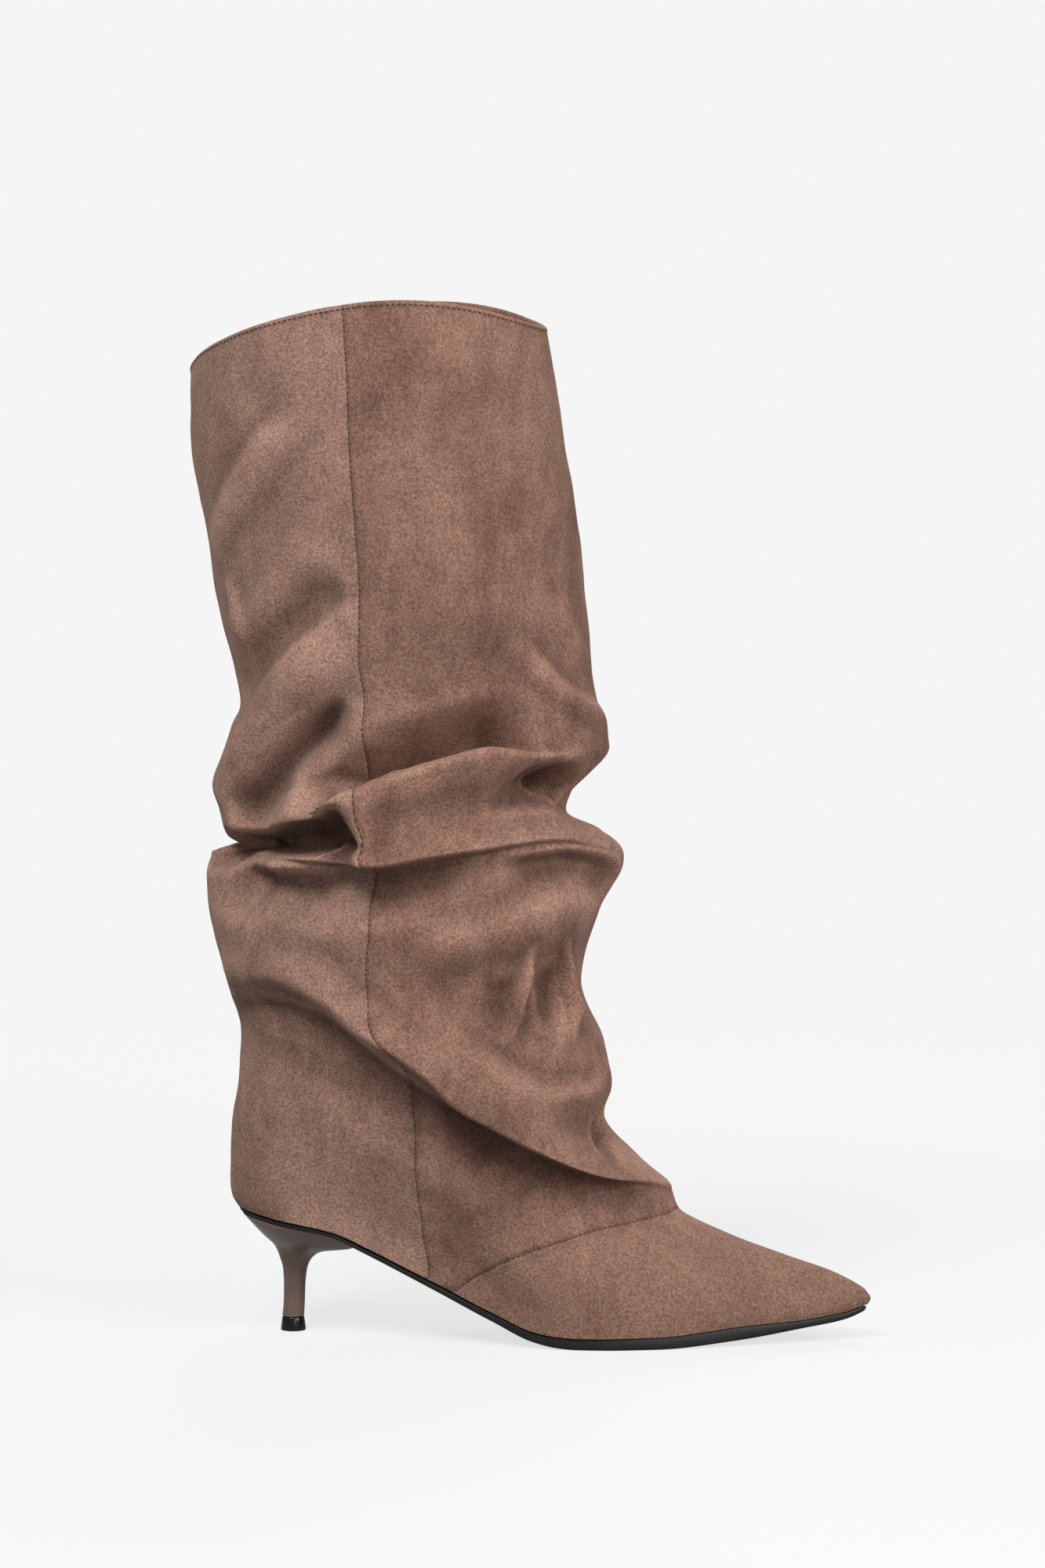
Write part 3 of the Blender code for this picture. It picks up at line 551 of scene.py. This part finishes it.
def tube(points, values=None):
    """A mesh tube through a grid of points, rows going up and columns going once round. Each named grid
    of values is kept with the vertices, for the materials to read."""
    rows, columns = points.shape[:2]
    mesh = bmesh.new()
    bmesh.ops.create_grid(mesh, x_segments=columns, y_segments=rows - 1, size=0.5)
    layers = {name: mesh.verts.layers.float.new(name) for name in values or {}}
    for vertex in mesh.verts:
        column = round((vertex.co.x + 0.5) * columns) % columns
        row = round((vertex.co.y + 0.5) * (rows - 1))
        vertex.co = points[row, column]
        for name, layer in layers.items():
            vertex[layer] = values[name][row, column]
    bmesh.ops.remove_doubles(mesh, verts=mesh.verts, dist=1e-7)
    return mesh


def close_ends(mesh, points):
    """Closes both ends of a tube with strips that run straight across from one side to the other."""
    lookup = {tuple(round(c, 7) for c in vertex.co): vertex for vertex in mesh.verts}
    for row in (points[0], points[-1]):
        row = np.float32(row)
        loop = [lookup[tuple(round(float(c), 7) for c in point)] for point in row]
        count = len(loop)
        for i in range(count // 2):
            strip = [loop[i], loop[i + 1], loop[count - i - 1], loop[-i % count]]
            mesh.faces.new(list(dict.fromkeys(strip)))


def place(name, mesh, finish, sharp=60):
    """Makes the mesh a piece of the boot, shaded smooth, with that finish."""
    data = bpy.data.meshes.new(name)
    mesh.to_mesh(data)
    mesh.free()
    data.shade_smooth()
    data.set_sharp_from_angle(angle=math.radians(sharp))
    data.materials.append(finish)
    piece = bpy.data.objects.new(name, data)
    bpy.context.scene.collection.objects.link(piece)
    return piece


def turns(columns):
    return np.arange(columns) / columns


def collar_rows(outer):
    """Rows of points that carry the upper's face over the rim of the collar and down inside it."""
    out = outward(outer)[-1]
    upward = unit(outer[-1] - outer[-4])
    core = outer[-1] - out * RIM_RADIUS
    rows = []
    for degrees in np.linspace(22.5, 180, RIM_ROWS):
        turned = math.radians(degrees)
        rows.append(core + RIM_RADIUS * (out * math.cos(turned) + upward * math.sin(turned)))
    for depth in np.linspace(0.0015, FACING, RIM_ROWS):
        rows.append(rows[RIM_ROWS - 1] - upward * depth - out * 0.0001)
    return np.array(rows)


def make_upper(finish):
    """The suede: foot and shaft, tucked in at the sole and turned over the rim of the collar."""
    turn = turns(UPPER_COLUMNS)
    rise = np.linspace(0, 0.9985, UPPER_ROWS - len(TUCK) - 2 * RIM_ROWS)
    seams = seam_sides(turn, rise)
    outer = dented(folded_surface(turn, rise), seams)
    crest = standing_out(outer) - standing_out(smooth_surface(turn, rise))
    inward = -outward(outer)[0]
    inward[:, 2] = 0
    tucked = [outer[0] + inward * depth + Vector((0, 0, drop)) for depth, drop in TUCK]
    rim = collar_rows(outer)
    points = np.concatenate([np.array(tucked), outer, rim])
    steps = np.linalg.norm(np.diff(outer[::-1, 0], axis=0), axis=-1)
    from_rim = np.concatenate([[0.0], np.cumsum(steps)])[::-1]
    # Metres below the rim: negative inside the collar, and far off where the suede is tucked in.
    from_rim = np.concatenate([[1.0] * len(TUCK), from_rim, -np.linspace(0.0004, 0.016, len(rim))])
    values = {"below_rim": np.repeat(from_rim[:, None], UPPER_COLUMNS, axis=1)}
    # crest carries the painted highlight on crests and painted shade in hollows, and the patches carry
    # painted shade and light.
    marks = {"crest": np.clip(crest / 0.0007, -1, 1), "painted_shade_and_light": painted_patch_tone(turn, rise)}
    for name, grid in {**seams, **marks}.items():
        values[name] = np.pad(grid, ((len(TUCK), len(rim)), (0, 0)), mode="edge")
    piece = place("suede_upper", tube(points, values), finish, sharp=180)
    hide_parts("upper")
    return piece, outer


def make_lining(finish):
    """The lining, from under the turned suede at the collar down to the insole."""
    points = folded_surface(turns(LINING_COLUMNS), np.linspace(0.012, 0.982, LINING_ROWS))
    points = points - outward(points) * LINING_DEPTH
    mesh = tube(points)
    bmesh.ops.reverse_faces(mesh, faces=mesh.faces)
    piece = place("shaft_lining", mesh, finish, sharp=180)
    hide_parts("upper")
    return piece


def make_rim_stitches(outer, finish):
    """A row of stitches round the collar, just below its edge."""
    out = outward(outer)
    rows = outer[::-1]
    steps = np.linalg.norm(np.diff(rows, axis=0), axis=-1).mean(axis=1)
    depth = np.concatenate([[0.0], np.cumsum(steps)])
    row = len(outer) - 1 - np.interp(STITCH_BELOW_EDGE - RIM_RADIUS, depth, np.arange(len(rows)))
    low, share = int(row), row - int(row)
    ring = outer[low] * (1 - share) + outer[low + 1] * share
    ring_out = out[low]
    steps = np.linalg.norm(np.roll(ring, -1, axis=0) - ring, axis=-1)
    run = np.concatenate([[0.0], np.cumsum(steps)])
    count = round(run[-1] / STITCH_PITCH)
    closed = np.concatenate([ring, ring[:1]])
    closed_out = np.concatenate([ring_out, ring_out[:1]])
    mesh = bmesh.new()
    for i in range(count):
        ends = [(i + part) * run[-1] / count for part in (0.1, 0.5, 0.9)]
        back, middle, front = [
            Vector([np.interp(end, run, closed[:, k]) for k in range(3)]) for end in ends
        ]
        normal = Vector([np.interp(ends[1], run, closed_out[:, k]) for k in range(3)]).normalized()
        length = (front - back).normalized()
        side = normal.cross(length).normalized()
        turned = Matrix((length, side, normal)).transposed().to_4x4()
        size = Matrix.Diagonal((STITCH_PITCH * 0.36, STITCH_WIDTH / 2, STITCH_THICKNESS / 2, 1))
        put = Matrix.Translation(middle + normal * 0.00002) @ turned @ size
        bmesh.ops.create_uvsphere(mesh, u_segments=8, v_segments=5, radius=1, matrix=put)
    piece = place("rim_stitches", mesh, finish, sharp=180)
    return piece


def sole_ring(inset, height):
    """The outline of the sole, drawn in by inset, at the height that a function gives along it."""
    edge = smooth_surface(turns(SOLE_COLUMNS), np.array([0.0]))[0]
    ahead = np.roll(edge, -1, axis=0) - np.roll(edge, 1, axis=0)
    inward = unit(np.stack([-ahead[:, 1], ahead[:, 0]], axis=-1))
    ring = edge.copy()
    ring[:, :2] += inward * inset
    along = (ring[:, 0] + HEEL_SETBACK) / BOOT_LENGTH
    ring[:, 2] = height(along)
    return ring


def make_outsole(finish):
    """One moulded sole with a rounded lower edge and a fine bevel where it meets the suede."""
    rings = []
    for degrees in (0, 18, 36, 54, 72, 90):
        turned = math.radians(degrees)
        inset = SOLE_INSET + SOLE_ROUNDING * (1 - math.sin(turned))
        lift = SOLE_ROUNDING * (1 - math.cos(turned))
        rings.append(sole_ring(inset, lambda along, lift=lift: underside(along) + lift))
    for inset, lift in SOLE_BEVEL:
        rings.append(sole_ring(SOLE_INSET + inset, lambda along, lift=lift: sole_top(along) + lift))
    points = np.array(rings)
    mesh = tube(points)
    close_ends(mesh, points)
    bmesh.ops.recalc_face_normals(mesh, faces=mesh.faces)
    piece = place("rubber_outsole", mesh, finish, sharp=40)
    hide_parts("outsole")
    return piece


def make_heel(finish):
    """The slim lacquered heel, flared into a seat that fits the underside of the outsole."""
    rings = np.array(HEEL_RINGS)
    stations = np.linspace(0, 1, len(rings))
    rise = np.linspace(0, 1, HEEL_ROWS + 1)
    columns = [monotone(stations, column, rise)[:, None] for column in rings.T]
    back, back_up, front, front_up, wide = columns
    seat_back = BOOT_LENGTH * FOOT_RINGS[0][0] - HEEL_SETBACK + SOLE_INSET + SEAT_MARGIN
    under = sole_ring(SOLE_INSET + SOLE_ROUNDING, underside)[: SOLE_COLUMNS // 2 + 1]
    seat_z = np.interp([seat_back, HEEL_BREAST], under[:, 0], under[:, 2]) - GAP
    foot_z = HEEL_TIP_HEIGHT + GAP
    stem = HEEL_STEM / 2
    angle = 2 * math.pi * turns(HEEL_COLUMNS)[None, :]
    share = (1 - np.cos(angle)) / 2
    back_x = -stem + (seat_back + stem) * back
    front_x = stem + (HEEL_BREAST - stem) * front
    x = back_x + (front_x - back_x) * share
    along = (x + HEEL_SETBACK) / BOOT_LENGTH
    back_z = foot_z + (seat_z[0] - foot_z) * back_up
    front_z = foot_z + (seat_z[1] - foot_z) * front_up
    bow = np.interp(x, under[:, 0], under[:, 2]) - GAP - (seat_z[0] + (seat_z[1] - seat_z[0]) * share)
    z = back_z + (front_z - back_z) * share + bow * wide**2
    fullness = np.abs(np.sin(angle)) ** (1 - SEAT_SQUARENESS * wide * share)
    half = (stem + (SEAT_HALF_WIDTH - stem) * wide) * fullness
    first, last = FOOT_RINGS[0][0], FOOT_RINGS[0][2]
    is_outer = np.broadcast_to(np.sin(angle) >= 0, x.shape)
    room = sole_outline((along - first) / (last - first), is_outer) - SOLE_INSET - SEAT_MARGIN
    half = np.minimum(half, np.where(wide > 0.5, np.maximum(room, 0), half))
    y = np.where(is_outer, -half, half)
    points = np.stack([x, y, z], axis=-1)
    mesh = tube(points)
    close_ends(mesh, points)
    bmesh.ops.recalc_face_normals(mesh, faces=mesh.faces)
    piece = place("lacquered_heel", mesh, finish, sharp=40)
    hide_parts("heel_block")
    return piece


def make_top_lift(finish):
    """The hard cap that the heel stands on, with both its edges eased."""
    mesh = bmesh.new()
    size = {"radius1": HEEL_TIP_LENGTH / 2, "radius2": HEEL_STEM / 2, "depth": HEEL_TIP_HEIGHT}
    bmesh.ops.create_cone(mesh, cap_ends=True, segments=HEEL_COLUMNS, **size)
    bmesh.ops.translate(mesh, verts=mesh.verts, vec=(0, 0, HEEL_TIP_HEIGHT / 2))
    edges = [edge for edge in mesh.edges if abs(edge.verts[0].co.z - edge.verts[1].co.z) < 1e-6]
    bmesh.ops.bevel(mesh, geom=edges, offset=EASING, affect="EDGES", segments=3, profile=0.5)
    piece = place("heel_tip", mesh, finish, sharp=50)
    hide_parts("top_lift")
    return piece


def linear(code):
    """A colour in linear red, green and blue, from its sRGB hex value."""
    parts = [int(code[i : i + 2], 16) / 255 for i in (1, 3, 5)]
    return (*[c / 12.92 if c <= 0.04045 else ((c + 0.055) / 1.055) ** 2.4 for c in parts], 1.0)


def feed(tree, node, inputs):
    """Gives each of these inputs of a node its value or its link."""
    for name, value in inputs.items():
        if isinstance(value, bpy.types.NodeSocket):
            tree.links.new(value, node.inputs[name])
        else:
            node.inputs[name].default_value = value


def add(tree, kind, inputs=None, **settings):
    """Adds a shader node with its settings and inputs. A Mix node has its colours at inputs 6 and 7 and
    at output 2."""
    made = tree.nodes.new("ShaderNode" + kind)
    for name, value in settings.items():
        setattr(made, name, value)
    feed(tree, made, inputs or {})
    return made.outputs


def finish_of(name, roughness, specular, uniform=None):
    """A new finish, its node tree, its shader with the values that are the same all over it, and the
    point on the piece that is being shaded."""
    made = bpy.data.materials.new(name)
    made.use_nodes = True
    tree = made.node_tree
    shader = tree.nodes["Principled BSDF"]
    feed(tree, shader, {"Roughness": roughness, "Specular IOR Level": specular, **(uniform or {})})
    return made, tree, shader, add(tree, "TexCoord")["Object"]


def brushed_microfibre():
    """Microfibre suede: fine polyester fibres raised and brushed. It has no gloss, glows a little at
    grazing angles, and shows lighter and darker strokes where the nap lies another way. Painted
    highlight lies on its crests, and painted shade in its hollows, under its folds and along the row
    of stitches below the rim."""
    sheen = {"Sheen Weight": 0.25, "Sheen Roughness": 0.45, "Sheen Tint": linear("#d8b9a8")}
    made, tree, shader, where = finish_of("brushed_microfibre", 0.92, 0.15, sheen)
    kept = ("side_seam", "side_run", "vamp_seam", "vamp_run", "crest", "painted_shade_and_light", "below_rim")
    side, side_run, vamp, vamp_run, crest, marks, below_rim = [
        add(tree, "Attribute", attribute_name=name)["Fac"] for name in kept
    ]

    # The nap lies in patches 20 to 40 mm across, with strokes of a brush about 6 mm wide over them.
    stretched = add(tree, "Mapping", {"Vector": where, "Scale": (1.0, 1.0, 0.62)})["Vector"]
    patches = add(
        tree,
        "TexNoise",
        {"Vector": stretched, "Scale": 30.0, "Detail": 4.0, "Roughness": 0.6, "Distortion": 0.8},
    )["Fac"]
    combed = add(
        tree, "Mapping", {"Vector": where, "Scale": (1.0, 1.0, 0.3), "Rotation": (0.0, 0.35, 0.0)}
    )["Vector"]
    strokes = add(
        tree, "TexNoise", {"Vector": combed, "Scale": 160.0, "Detail": 3.0, "Roughness": 0.65}
    )["Fac"]
    clouds = add(tree, "TexNoise", {"Vector": where, "Scale": 14.0, "Detail": 2.0})["Fac"]
    # Tufts of fibre are about 0.3 mm across. They are drawn 1 mm across, which is as fine as shows.
    tufts = add(
        tree, "TexNoise", {"Vector": where, "Scale": 1050.0, "Detail": 3.0, "Roughness": 0.75}
    )["Fac"]
    nap = add(tree, "MapRange", {"Value": patches, "From Min": 0.35, "From Max": 0.65})["Result"]
    brushed = add(tree, "MapRange", {"Value": strokes, "From Min": 0.36, "From Max": 0.64})["Result"]
    lay = add(tree, "Math", {0: nap, 1: 0.55}, operation="MULTIPLY")[0]
    lay = add(tree, "Math", {0: brushed, 1: 0.2, 2: lay}, operation="MULTIPLY_ADD")[0]
    lay = add(tree, "Math", {0: clouds, 1: 0.3, 2: lay}, operation="MULTIPLY_ADD", use_clamp=True)[0]

    # The back panel is cut with its nap upward and looks lighter and greyer than the front and the toe.
    in_front = add(tree, "MapRange", {"Value": side, "From Min": -0.0002, "From Max": 0.0002})["Result"]
    on_shaft = add(tree, "MapRange", {"Value": vamp, "From Min": -0.0002, "From Max": 0.0002})["Result"]
    tones = []
    for dark, light in (("#7a5c50", "#a38273"), ("#684a3f", "#997767"), ("#73574a", "#917061")):
        tones.append(
            add(tree, "Mix", {"Factor": lay, 6: linear(dark), 7: linear(light)}, data_type="RGBA")[2]
        )
    back_tone, front_tone, toe_tone = tones
    tone = add(tree, "Mix", {"Factor": in_front, 6: back_tone, 7: front_tone}, data_type="RGBA")[2]
    tone = add(tree, "Mix", {"Factor": on_shaft, 6: toe_tone, 7: tone}, data_type="RGBA")[2]
    speckle = add(
        tree,
        "MapRange",
        {"Value": tufts, "From Min": 0.38, "From Max": 0.62, "To Min": 0.62, "To Max": 1.34},
    )
    tone = add(tree, "VectorMath", {0: tone, 1: speckle["Result"]}, operation="MULTIPLY")[0]

    # Painted highlight along the crests and painted shade in the hollows, by how far the surface stands
    #     out there, and the patches of painted shade and painted light from their table.
    painted_highlight_and_shade = add(
        tree, "MapRange", {"Value": crest, "From Min": -1.0, "To Min": 0.76, "To Max": 1.32}
    )["Result"]
    painted_highlight_and_shade = add(tree, "Math", {0: painted_highlight_and_shade, 1: marks}, operation="ADD")[0]
    tone = add(tree, "VectorMath", {0: tone, 1: painted_highlight_and_shade}, operation="MULTIPLY")[0]

    # Painted shade along the row of stitches below the rim, for the shallow groove they would draw the
    # turned edge of the collar down into.
    off = add(tree, "Math", {0: below_rim, 1: STITCH_BELOW_EDGE - RIM_RADIUS}, operation="SUBTRACT")[0]
    off = add(tree, "Math", {0: off}, operation="ABSOLUTE")[0]
    painted_groove_shade = add(
        tree, "MapRange", {"Value": off, "From Min": 0.0008, "From Max": 0.0, "To Max": 0.22}
    )["Result"]
    tone = add(tree, "Mix", {"Factor": painted_groove_shade, 6: tone, 7: linear("#3a241b")}, data_type="RGBA")[2]

    # A closed seam is a dark line about 0.8 mm wide, with a darker needle hole at every stitch.
    dips = []
    for seam, run in ((side, side_run), (vamp, vamp_run)):
        apart = add(tree, "Math", {0: seam}, operation="ABSOLUTE")[0]
        line = add(tree, "MapRange", {"Value": apart, "From Min": 0.0005, "From Max": 0.0001})["Result"]
        beat = add(tree, "Math", {0: run, 1: STITCH_PITCH}, operation="MODULO")[0]
        beat = add(tree, "Math", {0: beat, 1: STITCH_PITCH / 2}, operation="SUBTRACT")[0]
        beat = add(tree, "Math", {0: beat}, operation="ABSOLUTE")[0]
        hole = add(
            tree,
            "MapRange",
            {"Value": beat, "From Min": 0.0009, "From Max": 0.0004, "To Min": 0.36, "To Max": 0.85},
        )["Result"]
        mark = add(tree, "Math", {0: line, 1: hole}, operation="MULTIPLY")[0]
        tone = add(tree, "Mix", {"Factor": mark, 6: tone, 7: linear("#3a241b")}, data_type="RGBA")[2]
        dip = {"Value": apart, "From Min": 0.0, "From Max": 0.0016}
        dips.append(add(tree, "MapRange", dip, interpolation_type="SMOOTHSTEP")["Result"])

    groove = add(tree, "Math", {0: dips[0], 1: dips[1]}, operation="MULTIPLY")[0]
    fibres = add(tree, "Math", {0: strokes, 1: 0.5, 2: tufts}, operation="MULTIPLY_ADD")[0]
    bump = add(tree, "Bump", {"Height": fibres, "Distance": 0.0005, "Strength": 0.9})["Normal"]
    bump = add(
        tree, "Bump", {"Height": groove, "Distance": 0.0006, "Strength": 0.8, "Normal": bump}
    )["Normal"]
    feed(tree, shader, {"Base Color": tone, "Normal": bump})
    return made


def brushed_lining():
    """Brushed textile lining: soft, plain and a little paler than the suede. Its threads, 0.4 mm apart,
    are drawn 1.4 mm apart so that they show, in clouds 25 mm across."""
    made, tree, shader, where = finish_of("brushed_lining", 0.9, 0.2, {"Sheen Weight": 0.15})
    weave = add(tree, "TexNoise", {"Vector": where, "Scale": 700.0, "Detail": 2.0})["Fac"]
    clouds = add(tree, "TexNoise", {"Vector": where, "Scale": 40.0, "Detail": 2.0})["Fac"]
    mixed = add(tree, "Math", {0: weave, 1: 0.5, 2: clouds}, operation="MULTIPLY_ADD")[0]
    share = add(tree, "MapRange", {"Value": mixed, "From Min": 0.5, "From Max": 1.0})["Result"]
    tone = add(
        tree, "Mix", {"Factor": share, 6: linear("#8c7365"), 7: linear("#a38a7b")}, data_type="RGBA"
    )[2]
    bump = add(tree, "Bump", {"Height": weave, "Distance": 0.0002, "Strength": 0.5})["Normal"]
    feed(tree, shader, {"Base Color": tone, "Normal": bump})
    return made


def moulded_rubber():
    """Thermoplastic rubber from a satin mould: near black, with a soft broad gloss and a faint pebble.
    The pebble, about 0.3 mm across, is drawn 1.1 mm across so that it shows, under smears of 17 mm."""
    made, tree, shader, where = finish_of("moulded_rubber", 0.42, 0.45)
    pebble = add(tree, "TexNoise", {"Vector": where, "Scale": 900.0, "Detail": 2.0})["Fac"]
    smears = add(tree, "TexNoise", {"Vector": where, "Scale": 60.0, "Detail": 3.0})["Fac"]
    tone = add(
        tree, "Mix", {"Factor": smears, 6: linear("#141414"), 7: linear("#1f1e1e")}, data_type="RGBA"
    )[2]
    worn = add(
        tree,
        "MapRange",
        {"Value": smears, "From Min": 0.3, "From Max": 0.7, "To Min": 0.36, "To Max": 0.5},
    )["Result"]
    bump = add(tree, "Bump", {"Height": pebble, "Distance": 0.0001, "Strength": 0.4})["Normal"]
    feed(tree, shader, {"Base Color": tone, "Roughness": worn, "Normal": bump})
    return made


def sprayed_lacquer():
    """Lacquer sprayed on moulded ABS: brown, even and half glossy, with a faint orange peel about 2 mm
    across and hardly any change of tone."""
    coat = {"Coat Weight": 0.5, "Coat Roughness": 0.1}
    made, tree, shader, where = finish_of("sprayed_lacquer", 0.3, 0.5, coat)
    peel = add(tree, "TexNoise", {"Vector": where, "Scale": 500.0, "Detail": 1.0})["Fac"]
    clouds = add(tree, "TexNoise", {"Vector": where, "Scale": 80.0, "Detail": 2.0})["Fac"]
    tone = add(
        tree, "Mix", {"Factor": clouds, 6: linear("#6b564d"), 7: linear("#786157")}, data_type="RGBA"
    )[2]
    bump = add(tree, "Bump", {"Height": peel, "Distance": 0.00004, "Strength": 0.3})["Normal"]
    feed(tree, shader, {"Base Color": tone, "Normal": bump})
    return made


def hard_polyurethane():
    """Cast polyurethane, turned and polished: black and glossy, with dull scuffs up to 2.4 mm long."""
    made, tree, shader, where = finish_of("hard_polyurethane", 0.2, 0.5)
    scuffs = add(
        tree, "TexNoise", {"Vector": where, "Scale": 420.0, "Detail": 4.0, "Roughness": 0.7}
    )["Fac"]
    tone = add(
        tree, "Mix", {"Factor": scuffs, 6: linear("#0d0c0c"), 7: linear("#191716")}, data_type="RGBA"
    )[2]
    rough = add(
        tree,
        "MapRange",
        {"Value": scuffs, "From Min": 0.4, "From Max": 0.7, "To Min": 0.16, "To Max": 0.32},
    )["Result"]
    feed(tree, shader, {"Base Color": tone, "Roughness": rough})
    return made


def twisted_thread():
    """Twisted polyester thread, with plies of 0.5 mm just showing. It is coloured much darker than the
    suede as painted shade, for the dents that the stitches sink into.
    """
    made, tree, shader, where = finish_of("twisted_thread", 0.6, 0.3, {"Sheen Weight": 0.2})
    plies = add(tree, "TexNoise", {"Vector": where, "Scale": 2200.0, "Detail": 1.0})["Fac"]
    # The dark tones are painted shade of the dents under the stitches.
    tone = add(
        tree, "Mix", {"Factor": plies, 6: linear("#38261f"), 7: linear("#4a362d")}, data_type="RGBA"
    )[2]
    feed(tree, shader, {"Base Color": tone})
    return made


def pale_paper():
    """Seamless studio paper: matt, pale and glowing a little, so that the shadows on it stay faint."""
    made, tree, shader, where = finish_of("pale_paper", 1.0, 0.0, {"Base Color": linear("#cfcfcf")})
    away = add(tree, "VectorMath", {0: where}, operation="LENGTH")["Value"]
    reach = {"Value": away, "From Min": 0.35, "From Max": 1.1}
    far = add(tree, "MapRange", reach, interpolation_type="SMOOTHSTEP")["Result"]
    share = add(tree, "MapRange", {"Value": far, "To Min": 0.72, "To Max": 1.0})["Result"]
    seen = add(tree, "LightPath")["Is Camera Ray"]
    bright = add(tree, "MapRange", {"Value": far, "To Min": 1.1, "To Max": 1.0})["Result"]
    strength = add(tree, "MapRange", {"Value": seen, "To Min": 0.2, "To Max": bright})["Result"]
    glow = add(tree, "Emission", {"Color": linear("#f5f5f5"), "Strength": strength})[0]
    mixed = add(tree, "MixShader", {0: share, 1: shader.outputs[0], 2: glow})[0]
    feed(tree, tree.nodes["Material Output"], {"Surface": mixed})
    return made


def make_floor(finish):
    """A round sheet of paper, a hair below the sole."""
    mesh = bmesh.new()
    bmesh.ops.create_circle(mesh, cap_ends=True, segments=64, radius=12)
    bmesh.ops.translate(mesh, verts=mesh.verts, vec=(0.09, 0, -0.00005))
    piece = place("paper_floor", mesh, finish)


def soft_box(name, where, aim, width, height, power):
    """A rectangular studio light at one place, turned to another."""
    light = bpy.data.lights.new(name, "AREA")
    light.shape = "RECTANGLE"
    light.size = width
    light.size_y = height
    light.energy = power
    made = bpy.data.objects.new(name, light)
    made.location = where
    made.rotation_euler = (Vector(aim) - Vector(where)).to_track_quat("-Z", "Y").to_euler()
    bpy.context.scene.collection.objects.link(made)


def studio():
    """The lights, the pale surroundings and the camera."""
    soft_box("key_light", (-0.5, -1.6, 2.2), (0.05, 0, 0.2), 1.0, 1.0, 55)
    soft_box("fill_light", (1.9, -1.1, 1.1), (0.08, 0, 0.2), 1.2, 1.2, 31)
    soft_box("back_light", (0.2, 2.0, 1.7), (0.05, 0, 0.2), 1.2, 1.2, 24)
    soft_box("strip_light", (1.05, -1.85, 0.7), (0, 0, 0.05), 0.16, 1.1, 5)
    world = bpy.data.worlds.new("studio_air")
    world.use_nodes = True
    bpy.context.scene.world = world
    tree = world.node_tree
    seen = add(tree, "LightPath")["Is Camera Ray"]
    strength = add(tree, "MapRange", {"Value": seen, "To Min": 0.2, "To Max": 1.0})["Result"]
    feed(tree, tree.nodes["Background"], {"Color": linear("#f5f5f5"), "Strength": strength})
    bpy.context.scene.view_settings.view_transform = "Standard"

    # The camera stands a little below the collar and a little towards the toe.
    lens = bpy.data.cameras.new("camera")
    lens.sensor_width = 36
    lens.lens = CAMERA_LENS
    lens.clip_end = 30
    camera = bpy.data.objects.new("camera", lens)
    aim = Vector(CAMERA_AIM)
    turned = math.radians(CAMERA_TURN)
    camera.location = (
        aim.x + CAMERA_AWAY * math.sin(turned), -CAMERA_AWAY * math.cos(turned), CAMERA_HEIGHT
    )
    camera.rotation_euler = (aim - camera.location).to_track_quat("-Z", "Y").to_euler()
    bpy.context.scene.collection.objects.link(camera)
    bpy.context.scene.camera = camera


suede = brushed_microfibre()
lining = brushed_lining()
upper, face = make_upper(suede)
pieces = [
    upper,
    make_lining(lining),
    make_rim_stitches(face, twisted_thread()),
    make_outsole(moulded_rubber()),
    make_heel(sprayed_lacquer()),
    make_top_lift(hard_polyurethane()),
]
for piece in pieces:
    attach(piece, "root")
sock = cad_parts["insole"]
sock.data.materials.clear()
sock.data.materials.append(lining)
make_floor(pale_paper())
studio()
